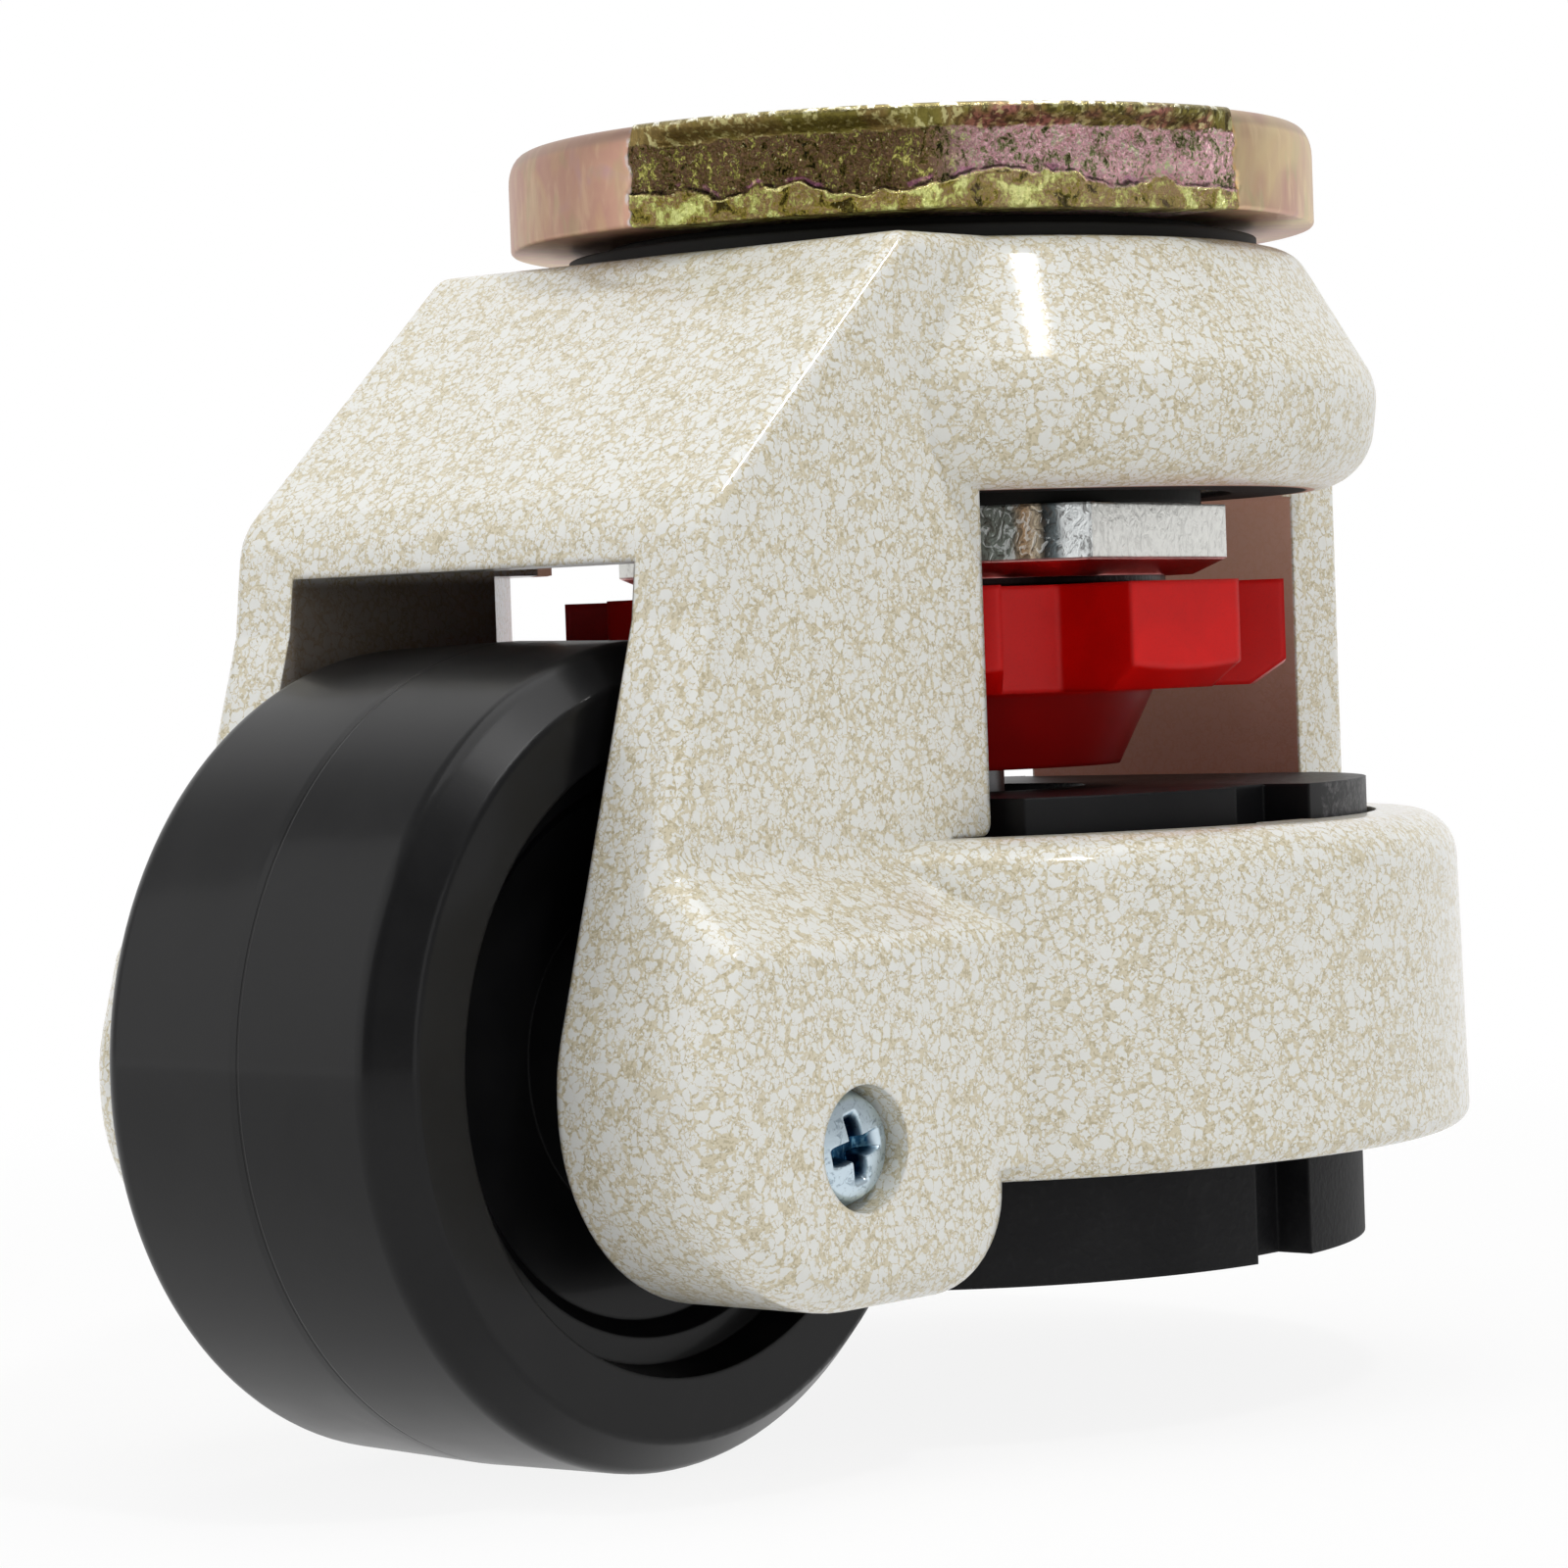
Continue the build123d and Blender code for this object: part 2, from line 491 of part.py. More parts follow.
with BuildPart() as keeper_screw_near:
    keeper(-1)
keeper_screw_near.part.label = "keeper_screw_near"
with BuildPart() as keeper_screw_far:
    keeper(1)
keeper_screw_far.part.label = "keeper_screw_far"
with BuildPart() as axle_washers:
    for side in (1, -1):
        bar_y(WHEEL_X, WHEEL_Z, WASHER_OUT, side * (POCKET_HALF_W - WASHER_T), side * POCKET_HALF_W)
    bar_y(WHEEL_X, WHEEL_Z, AXLE_R, -POCKET_HALF_W - PAST, POCKET_HALF_W + PAST, mode=Mode.SUBTRACT)
axle_washers.part.label = "axle_washers"

# ---------------------------------------------------------------- wheel
TREAD_EDGE = (WHEEL_R - WHEEL_CROWN, WHEEL_HALF_W - WHEEL_SHOULDER)
FACE_EDGE = (WHEEL_FACE_OUT, WHEEL_HALF_W)
STEP_R = WHEEL_FACE_IN - RECESS_STEP_R
HALF_SECTION = (  # radius, distance from the middle plane, from the hub's bore out to the parting line
    (BUSH_R, HUB_HALF_W), (HUB_R, HUB_HALF_W), (HUB_R, WHEEL_RECESS), (STEP_R - RECESS_STEP, WHEEL_RECESS),
    (STEP_R, WHEEL_RECESS + RECESS_STEP), (WHEEL_FACE_IN - RECESS_LIP, WHEEL_RECESS + RECESS_STEP),
    (WHEEL_FACE_IN, WHEEL_HALF_W), FACE_EDGE, TREAD_EDGE, (WHEEL_R, 0),
)
OTHER_HALF = [(radius, -off) for radius, off in reversed(HALF_SECTION[:-1])]
with BuildPart() as wheel:
    with BuildSketch(Plane((WHEEL_X, LEG_Y, WHEEL_Z))) as section:
        with BuildLine():
            Polyline(*HALF_SECTION, *OTHER_HALF, close=True)
        make_face()
        for side in (1, -1):
            fillet(nearest_corner(section, TREAD_EDGE[0], side * TREAD_EDGE[1]), WHEEL_SHOULDER_ROUND)
            fillet(nearest_corner(section, FACE_EDGE[0], side * FACE_EDGE[1]), WHEEL_FACE_ROUND)
    revolve(axis=Axis((WHEEL_X, 0, WHEEL_Z), (0, 1, 0)))
wheel.part.label = "wheel"

with BuildPart() as wheel_bushes:
    for side in (1, -1):
        bar_y(WHEEL_X, WHEEL_Z, BUSH_R, side * (HUB_HALF_W - BUSH_L), side * HUB_HALF_W)
    bar_y(WHEEL_X, WHEEL_Z, AXLE_R + AXLE_FIT, -HUB_HALF_W - PAST, HUB_HALF_W + PAST, mode=Mode.SUBTRACT)
wheel_bushes.part.label = "wheel_bushes"

# ---------------------------------------------------------------- adjuster
def star_corner(tooth, radius, off):
    """X, Y of one corner of a tooth; off is its angle from the tooth's middle."""
    angle = radians(STAR_TURN + tooth * 360 / STAR_TEETH + off)
    return radius * cos(angle), radius * sin(angle)


def grip_outline():
    """Draws the sleeve's grip: a disc with four ears that key it into the star wheel."""
    Circle(SLEEVE_GRIP_R)
    with PolarLocations(SLEEVE_GRIP_R, 4):
        Rectangle(2 * SLEEVE_EAR, SLEEVE_EAR_W)


STAR_UNDERCUT = (  # radius, Z of what the chamfer takes off under the teeth
    (STAR_R - STAR_CHAMFER_R, STAR_BOTTOM), (STAR_R + STAR_CHAMFER_R, STAR_BOTTOM),
    (STAR_R + STAR_CHAMFER_R, STAR_BOTTOM + 2 * STAR_CHAMFER_Z),
)
star_outline = [star_corner(tooth, *corner) for tooth in range(STAR_TEETH) for corner in STAR_CORNERS]
with BuildPart() as adjuster_wheel:
    with BuildSketch(Plane.XY.offset(STAR_BOTTOM)):
        with BuildLine():
            Polyline(*star_outline, close=True)
        make_face()
    extrude(amount=STAR_TOP - STAR_BOTTOM)
    turn(STAR_UNDERCUT, mode=Mode.SUBTRACT)
    turn(((0, STAR_BOTTOM), (CONE_TOP_R, STAR_BOTTOM), (CONE_BOTTOM_R, CONE_END), (0, CONE_END)))
    prism(grip_outline, CONE_END, STAR_TOP, mode=Mode.SUBTRACT)
adjuster_wheel.part.label = "adjuster_wheel"

with BuildPart() as adjuster_sleeve:
    ring(0, SLEEVE_R, SLEEVE_TOP, STAR_TOP)
    prism(grip_outline, CONE_END, STAR_TOP)
    prism(lambda: Circle(STUD_R + STUD_FIT), CONE_END, SLEEVE_TOP, mode=Mode.SUBTRACT)
    with BuildSketch(Plane.XY.offset(CLIP_Z - CLIP_T / 2)):
        Circle(SLEEVE_R + PAST)
        Circle(CLIP_IN, mode=Mode.SUBTRACT)
    extrude(amount=CLIP_T, mode=Mode.SUBTRACT)
adjuster_sleeve.part.label = "adjuster_sleeve"

with BuildPart() as sleeve_clip:
    ring(CLIP_IN, CLIP_OUT, CLIP_Z + CLIP_T / 2, CLIP_Z - CLIP_T / 2)
    box(
        (0, -CLIP_GAP / 2, CLIP_Z - CLIP_T), (CLIP_OUT + PAST, CLIP_GAP / 2, CLIP_Z + CLIP_T),
        mode=Mode.SUBTRACT,
    )
sleeve_clip.part.label = "sleeve_clip"

with BuildPart() as thrust_washer:
    ring(SLEEVE_R, THRUST_OUT, STAR_TOP + THRUST_T, STAR_TOP)
thrust_washer.part.label = "thrust_washer"

# ---------------------------------------------------------------- levelling pad
def pad_outline(front_r, rear_r):
    """Draws the pad's plan: two half discs, flat in front, with a groove for each guide rib."""
    for radius, side in ((front_r, -1), (rear_r, 1)):
        with BuildSketch(mode=Mode.PRIVATE) as half:
            Circle(radius)
            with Locations((side * radius / 2, 0)):
                Rectangle(radius, 2 * radius, mode=Mode.INTERSECT)
        add(half.sketch)
    with Locations(((PAD_FRONT_X - front_r) / 2, 0)):
        Rectangle(PAD_FRONT_X + front_r, 2 * PAD_FRONT_HALF_W, mode=Mode.SUBTRACT)
    with Locations((0, (PAD_GROOVE_R + rear_r) / 2 + PAST), (0, -(PAD_GROOVE_R + rear_r) / 2 - PAST)):
        Rectangle(PAD_GROOVE_W, rear_r - PAD_GROOVE_R + 2 * PAST, mode=Mode.SUBTRACT)


with BuildPart() as pad_body:
    prism(lambda: pad_outline(PAD_R_FRONT, PAD_R_REAR), PAD_SEAM, PAD_TOP)
    box(
        (PAD_REAR_X, -PAD_REAR_HALF_W, PAD_STEP_Z), (PAD_R_REAR + PAST, PAD_REAR_HALF_W, PAD_TOP),
        mode=Mode.SUBTRACT,
    )
    box((-PAD_R_FRONT, -PAD_R_FRONT, PAD_STEP_Z), (PAD_EAR_X, PAD_R_FRONT, PAD_TOP), mode=Mode.SUBTRACT)
    prism(lambda: Circle(JAM_ROOM_R), JAM_TOP - JAM_T, PAD_TOP, mode=Mode.SUBTRACT)
    prism(lambda: Circle(STUD_R), PAD_SEAM, PAD_TOP, mode=Mode.SUBTRACT)
    prism(lambda: hexagon(HEAD_AF), PAD_SEAM, PAD_SEAM + HEAD_T, mode=Mode.SUBTRACT)
pad_body.part.label = "pad_body"

with BuildPart() as pad_rubber:
    prism(lambda: pad_outline(PAD_R_RUBBER, PAD_R_RUBBER), PAD_BOTTOM, PAD_SEAM)
pad_rubber.part.label = "pad_rubber"

with BuildPart() as levelling_stud:
    ring(0, STUD_R, STUD_TOP, PAD_SEAM)
    prism(lambda: hexagon(HEAD_AF), PAD_SEAM, PAD_SEAM + HEAD_T)
    chamfer(levelling_stud.edges().group_by(Axis.Z)[-1], STUD_CHAMFER)
levelling_stud.part.label = "levelling_stud"

with BuildPart() as stud_nut:
    prism(lambda: hexagon(JAM_AF, STUD_R), JAM_TOP - JAM_T, JAM_TOP)
stud_nut.part.label = "stud_nut"

PARTS = (
    mount_flange, kingpin, upper_race, lower_race, kingpin_nut,
    upper_balls, upper_cage, lower_balls, lower_cage,
    frame_casting, upper_cup, lower_cup, dust_seal, axle, keeper_screw_near, keeper_screw_far, axle_washers,
    wheel, wheel_bushes, adjuster_wheel, adjuster_sleeve, sleeve_clip, thrust_washer,
    pad_body, pad_rubber, levelling_stud, stud_nut,
)
for piece in PARTS:
    export_step(piece.part, f"parts/{piece.part.label}.step")
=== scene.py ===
"""Levelling castor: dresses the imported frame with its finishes, fine pieces, studio and camera.

Metres throughout, in the frame of the solids: the origin is the middle of the mounting hole's mouth, +Z
points out of that hole, the wheel is at -X and the frame swivels about Z.
"""
import logging
import math
from dataclasses import dataclass, field
from enum import Enum
from typing import Any, Optional, Sequence, Union

import bmesh
import bpy
import numpy as np
from mathutils import Matrix, Vector


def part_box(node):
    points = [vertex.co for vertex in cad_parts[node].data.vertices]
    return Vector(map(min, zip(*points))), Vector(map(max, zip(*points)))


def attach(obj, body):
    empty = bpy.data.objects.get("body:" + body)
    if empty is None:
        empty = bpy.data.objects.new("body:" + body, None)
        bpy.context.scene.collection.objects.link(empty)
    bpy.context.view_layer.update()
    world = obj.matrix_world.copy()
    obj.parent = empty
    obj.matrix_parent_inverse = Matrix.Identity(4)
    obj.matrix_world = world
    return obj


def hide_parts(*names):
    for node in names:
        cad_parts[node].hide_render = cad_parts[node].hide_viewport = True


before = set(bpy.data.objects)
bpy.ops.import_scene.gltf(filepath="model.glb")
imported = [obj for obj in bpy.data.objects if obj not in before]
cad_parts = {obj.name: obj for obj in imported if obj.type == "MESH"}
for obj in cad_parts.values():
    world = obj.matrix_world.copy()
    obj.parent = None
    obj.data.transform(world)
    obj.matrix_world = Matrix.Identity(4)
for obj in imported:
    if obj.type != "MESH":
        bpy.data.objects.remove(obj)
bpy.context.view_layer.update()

LOG = logging.getLogger("castor")
MM = 0.001
Colour = tuple[float, float, float]
Number = Union[float, int, "Signal"]


def from_srgb(red: int, green: int, blue: int) -> Colour:
    """A linear colour from its sRGB bytes."""
    shares = np.array([red, green, blue]) / 255.0
    low = shares / 12.92
    high = ((shares + 0.055) / 1.055) ** 2.4
    linear = np.where(shares <= 0.04045, low, high)
    return float(linear[0]), float(linear[1]), float(linear[2])


# ---------------------------------------------------------------- shader expressions


class Signal:
    """An output socket on which Python arithmetic adds Math nodes."""

    def __init__(self, bench: "Bench", socket: bpy.types.NodeSocket) -> None:
        self.bench = bench
        self.socket = socket

    def __add__(self, other: Number) -> "Signal":
        """Sum."""
        return self.bench.math("ADD", self, other)

    def __radd__(self, other: Number) -> "Signal":
        """Sum, reflected."""
        return self.bench.math("ADD", other, self)

    def __sub__(self, other: Number) -> "Signal":
        """Difference."""
        return self.bench.math("SUBTRACT", self, other)

    def __rsub__(self, other: Number) -> "Signal":
        """Difference, reflected."""
        return self.bench.math("SUBTRACT", other, self)

    def __mul__(self, other: Number) -> "Signal":
        """Product."""
        return self.bench.math("MULTIPLY", self, other)

    def __rmul__(self, other: Number) -> "Signal":
        """Product, reflected."""
        return self.bench.math("MULTIPLY", other, self)

    def __abs__(self) -> "Signal":
        """Absolute value."""
        return self.bench.math("ABSOLUTE", self)

    def over(self, low: float, high: float) -> "Signal":
        """Smooth step from 0 at low to 1 at high; the edges may be given falling."""
        if low > high:
            return 1.0 - self.over(high, low)
        settings = {"interpolation_type": "SMOOTHSTEP"}
        inputs = {"Value": self, "From Min": low, "From Max": high}
        return self.bench.node("ShaderNodeMapRange", settings, inputs, "Result")


class Bench:
    """The node tree of one material or of the world."""

    def __init__(self, tree: bpy.types.NodeTree) -> None:
        self.tree = tree
        self.tree.nodes.clear()
        self.places: dict[str, Signal] = {}

    def node(self, kind: str, settings: dict[str, Any], inputs: dict[Any, Any], output: Any = 0) -> Signal:
        """Adds one node.

        Args:
            kind: The node's type name.
            settings: Properties set before the sockets.
            inputs: Values or signals by the socket's name or number.
            output: The name or number of the socket that is returned.

        Returns:
            The chosen output.
        """
        node = self.tree.nodes.new(kind)
        for name, value in settings.items():
            setattr(node, name, value)
        for key, value in inputs.items():
            if isinstance(value, Signal):
                self.tree.links.new(value.socket, node.inputs[key])
            else:
                node.inputs[key].default_value = value
        outputs = [socket for socket in node.outputs if socket.enabled]
        chosen = outputs[output] if isinstance(output, int) else node.outputs[output]
        return Signal(self, chosen)

    def math(self, operation: str, *operands: Number) -> Signal:
        """One Math node on numbers and signals."""
        return self.node("ShaderNodeMath", {"operation": operation}, dict(enumerate(operands)))

    def vector(self, operation: str, first: Any, second: Any) -> Signal:
        """One Vector Math node on signals and plain vectors."""
        return self.node("ShaderNodeVectorMath", {"operation": operation}, {0: first, 1: second})

    def close(self, kind: str, shader: Signal) -> None:
        """Adds the output node of a material or of the world and links its surface."""
        output = self.tree.nodes.new(kind)
        self.tree.links.new(shader.socket, output.inputs["Surface"])

    def ray(self, kind: str) -> Signal:
        """1 on one kind of ray."""
        return self.node("ShaderNodeLightPath", {}, {}, kind)

    def stored(self, name: str) -> Signal:
        """A number that the mesh keeps at each corner."""
        return self.node("ShaderNodeAttribute", {"attribute_name": name}, {}, "Fac")

    def place(self) -> Signal:
        """Object coordinates, in metres."""
        if "all" not in self.places:
            self.places["all"] = self.node("ShaderNodeTexCoord", {}, {}, "Object")
        return self.places["all"]

    def along(self, axis: str) -> Signal:
        """One of X, Y and Z of the object coordinates."""
        if axis not in self.places:
            self.places[axis] = self.node("ShaderNodeSeparateXYZ", {}, {"Vector": self.place()}, axis)
        return self.places[axis]

    def radius(self) -> Signal:
        """Distance from the Z axis."""
        return self.math("SQRT", self.along("X") * self.along("X") + self.along("Y") * self.along("Y"))

    def moved(self, shift: Sequence[float] = (0, 0, 0), stretch: Sequence[float] = (1, 1, 1)) -> Signal:
        """Object coordinates less a shift, then multiplied axis by axis."""
        return self.vector("MULTIPLY", self.vector("SUBTRACT", self.place(), tuple(shift)), tuple(stretch))

    def shaken(self, size: float, reach: float) -> Signal:
        """Object coordinates pushed about by noise of a size, by up to about half the reach."""
        push = self.vector("SUBTRACT", self.noise(size, 1.0, output="Color"), (0.5, 0.5, 0.5))
        return self.vector("ADD", self.place(), self.vector("MULTIPLY", push, (reach, reach, reach)))

    def noise(self, size: float, detail: float = 2.0, twist: float = 0.0, roughness: float = 0.5,
              at: Optional[Signal] = None, output: str = "Fac") -> Signal:
        """Smooth noise.

        Args:
            size: Distance between features, in metres.
            detail: Octaves beyond the first.
            twist: How far the noise is distorted by itself.
            roughness: Weight of each further octave.
            at: Where it is read; object coordinates unless given.
            output: "Fac" or "Color".

        Returns:
            Values about 0.5, or a colour of three such values.
        """
        inputs = {"Vector": at or self.place(), "Scale": 1.0 / size, "Detail": detail,
                  "Roughness": roughness, "Distortion": twist}
        return self.node("ShaderNodeTexNoise", {}, inputs, output)

    def borders(self, size: float, at: Signal) -> Signal:
        """Distance to the borders of Voronoi cells of about the given size."""
        inputs = {"Vector": at, "Scale": 1.0 / size}
        return self.node("ShaderNodeTexVoronoi", {"feature": "DISTANCE_TO_EDGE"}, inputs, "Distance")

    def blend(self, share: Number, first: Union[Colour, Signal], second: Union[Colour, Signal]) -> Signal:
        """Mixes two colours; share 1 gives the second."""
        inputs = {0: share}
        for key, value in ((6, first), (7, second)):
            inputs[key] = value if isinstance(value, Signal) else (*value, 1.0)
        return self.node("ShaderNodeMix", {"data_type": "RGBA"}, inputs)

    def ramp(self, share: Signal, stops: Sequence[tuple[float, Colour]]) -> Signal:
        """A colour ramp through the given stops."""
        node = self.tree.nodes.new("ShaderNodeValToRGB")
        points = node.color_ramp.elements
        while len(points) < len(stops):
            points.new(0.5)
        for point, (where, colour) in zip(points, stops):
            point.position = where
            point.color = (*colour, 1.0)
        self.tree.links.new(share.socket, node.inputs["Fac"])
        return Signal(self, node.outputs["Color"])

    def soft_edges(self, radius: float, samples: int = 6) -> Signal:
        """A normal that rounds edges by about the given radius."""
        return self.node("ShaderNodeBevel", {"samples": samples}, {"Radius": radius})

    def relief(self, height: Signal, depth: float, normal: Optional[Signal] = None) -> Signal:
        """A normal bumped by a height signal.

        Args:
            height: 0 to 1.
            depth: How many metres a height of 1 stands for.
            normal: The normal to start from.

        Returns:
            The bumped normal.
        """
        inputs: dict[str, Any] = {"Height": height, "Distance": depth, "Strength": 1.0}
        if normal is not None:
            inputs["Normal"] = normal
        return self.node("ShaderNodeBump", {}, inputs)


def new_material(name: str) -> tuple[bpy.types.Material, Bench]:
    """An empty material and its bench."""
    material = bpy.data.materials.new(name)
    material.use_nodes = True
    return material, Bench(material.node_tree)


def close_material(bench: Bench, sockets: dict[str, Any]) -> None:
    """Adds the surface shader with its sockets and the output."""
    values = {name: (*value, 1.0) if isinstance(value, tuple) and len(value) == 3 else value
              for name, value in sockets.items()}
    surface = bench.node("ShaderNodeBsdfPrincipled", {}, values)
    bench.close("ShaderNodeOutputMaterial", surface)


# ---------------------------------------------------------------- finishes


@dataclass(frozen=True)
class SpeckledPaint:
    """Glossy ivory enamel, veined with fine tan threads that leave round light islands."""

    name: str = "speckled_enamel"
    ground: Colour = from_srgb(232, 232, 227)
    thread: Colour = from_srgb(214, 204, 176)
    dark_thread: Colour = from_srgb(172, 158, 122)
    # painted reflection and shade: the red-brown of the chamber's walls, upper and lower
    chamber_red_reflection: Colour = from_srgb(160, 128, 116)
    chamber_red_reflection_low: Colour = from_srgb(130, 94, 84)
    # painted light: the glow of the chamber's walls at their top and at their bottom
    glow_top: Colour = (0.125, 0.072, 0.052)
    glow_bottom: Colour = (0.045, 0.018, 0.012)
    # painted shade: the brown of the wheel pocket's walls
    pocket_shade: Colour = from_srgb(88, 74, 62)
    # painted shade: the near black of the gap under the turret, and below it the radius that it reaches
    gap_shade: Colour = (0.004, 0.004, 0.004)
    chamber_radius: float = 25.9 * MM
    chamber_middle: float = 34.2 * MM
    chamber_half: float = 10.7 * MM
    pillar_inner: float = 25.7 * MM
    ceiling: float = 23.7 * MM
    gap_shade_radius: float = 25.3 * MM
    leg_middle: float = 0.65 * MM
    pocket_half: float = 14.4 * MM
    lintel: float = 27.6 * MM
    mesh_size: float = 0.80 * MM
    fine_mesh_size: float = 0.42 * MM
    pocket_rear: float = -9.0 * MM
    soft_radius: float = 0.5 * MM
    pillar_front: float = 20.0 * MM
    pillar_half: float = 11.5 * MM
    chamber_head: float = -24.0 * MM
    chamber_foot: float = -45.0 * MM
    pocket_mouth: float = -50.0 * MM
    mouth_fade: float = 8.0 * MM
    turret_foot: float = -25.0 * MM
    turret_front: float = -22.0 * MM
    turret_fade: float = 4.0 * MM
    skin_relief: float = 0.09 * MM
    thread_relief: float = 0.006 * MM

    def chamber(self, bench: Bench) -> Signal:
        """1 on the walls of the adjuster's chamber."""
        across = bench.radius()
        level = abs(bench.along("Z") + self.chamber_middle)
        middle = level.over(self.chamber_half + 0.2 * MM, self.chamber_half)
        inside = across.over(self.chamber_radius + 0.15 * MM, self.chamber_radius)
        behind = bench.along("X").over(self.pillar_inner + 0.25 * MM, self.pillar_inner + 0.1 * MM)
        behind = behind * bench.along("X").over(self.pillar_front, self.pillar_front + 1.0 * MM)
        behind = behind * abs(bench.along("Y")).over(self.pillar_half + 0.15 * MM, self.pillar_half)
        return bench.math("MAXIMUM", inside, behind) * middle

    def pocket(self, bench: Bench) -> Signal:
        """1 on the walls of the wheel's pocket, less near its mouth."""
        wall = abs(bench.along("Y") - self.leg_middle).over(self.pocket_half + 0.15 * MM, self.pocket_half)
        below = (bench.along("Z") * -1.0).over(self.lintel - 0.6 * MM, self.lintel + 0.6 * MM)
        mouth = bench.along("X").over(self.pocket_mouth, self.pocket_mouth + self.mouth_fade)
        ahead = bench.along("X").over(self.pocket_rear + 1.0 * MM, self.pocket_rear)
        return wall * below * ahead * (mouth * 0.6 + 0.4)

    def gap_shaded(self, bench: Bench) -> Signal:
        """1 under the turret round the bearing, where the shadow of the gap is painted."""
        across = bench.radius()
        level = abs(bench.along("Z") + self.ceiling).over(0.5 * MM, 0.3 * MM)
        return level * across.over(self.gap_shade_radius + 0.3 * MM, self.gap_shade_radius)

    def veins(self, bench: Bench, size: float, width: float, shift: float) -> Signal:
        """Threads along the borders of crumpled cells, thick in some places and broken in others.

        Args:
            size: The cells' size.
            width: The threads' half width, as a share of the size.
            shift: Moves the pattern, so that two of them differ.

        Returns:
            1 on a thread.
        """
        bent = bench.vector("ADD", bench.shaken(size * 0.42, size * 0.55), (shift, shift, shift))
        border = bench.borders(size, bent)
        swell = bench.noise(size * 1.3, 3.0, 0.4, roughness=0.6, at=bench.moved((shift, 0, 0)))
        swell = swell.over(0.36, 0.68)
        fray = bench.noise(0.16 * MM, 2.0, 0.4, at=bench.moved((0, shift, 0)))
        reach = swell * width * 2.0 + (fray - 0.5) * width * 2.0
        return (border - reach).over(0.03, -0.01)

    def build(self) -> bpy.types.Material:
        """The material."""
        material, bench = new_material(self.name)
        coarse = self.veins(bench, self.mesh_size, 0.070, 0.02)
        fine = self.veins(bench, self.fine_mesh_size, 0.065, 0.05)
        tan = bench.math("MAXIMUM", coarse, fine * bench.noise(1.3 * MM, 2.0).over(0.44, 0.54))
        darker = bench.noise(0.24 * MM, 2.0, 0.8, at=bench.moved((0.03, 0.02, 0.07))).over(0.50, 0.60)
        colour = bench.blend(tan * 0.92, self.ground, self.thread)
        colour = bench.blend(tan * darker * 0.6, colour, self.dark_thread)
        height = bench.along("Z").over(self.chamber_foot, self.chamber_head)
        # painted reflection and shade: the chamber's walls take the red of the adjuster wheel as it shows on
        # a shaded wall, darker towards the bottom
        reflected_red = bench.blend(height, self.chamber_red_reflection_low, self.chamber_red_reflection)
        chamber = self.chamber(bench)
        colour = bench.blend(chamber * 0.94, colour, reflected_red)
        pocket = self.pocket(bench)
        # painted shade: the wheel pocket's walls are darkened to brown, most deep inside and less near the
        # mouth
        colour = bench.blend(pocket * 0.88, colour, self.pocket_shade)
        matt = bench.math("MAXIMUM", chamber, pocket)
        turret = bench.along("Z").over(self.turret_foot, self.turret_foot + 1.0 * MM)
        turret = turret * bench.along("X").over(self.turret_front, self.turret_front + self.turret_fade)
        gloss = 0.6 - turret * 0.4
        # painted light: the chamber's walls glow through Emission for the light that comes in through the
        # opening, dimmer towards the bottom and none in the gap under the turret
        painted_glow = bench.blend(height, self.glow_bottom, self.glow_top)
        gap_shaded = self.gap_shaded(bench)
        painted_glow = bench.blend(chamber * (1.0 - gap_shaded), (0.0, 0.0, 0.0), painted_glow)
        # painted shade: near black in the gap under the turret, over the bearing
        colour = bench.blend(gap_shaded, colour, self.gap_shade)
        skin = bench.noise(1.7 * MM, 3.0)
        normal = bench.relief(skin, self.skin_relief, bench.soft_edges(self.soft_radius))
        normal = bench.relief(tan * -1.0, self.thread_relief, normal)
        close_material(bench, {
            "Base Color": colour, "Roughness": 0.36 + matt * 0.4, "Normal": normal,
            "Coat Weight": (1.0 - bench.math("MAXIMUM", gap_shaded, matt)) * gloss, "Coat Roughness": 0.09,
            "Specular IOR Level": 0.15, "Emission Color": painted_glow, "Emission Strength": 1.0,
        })
        return material


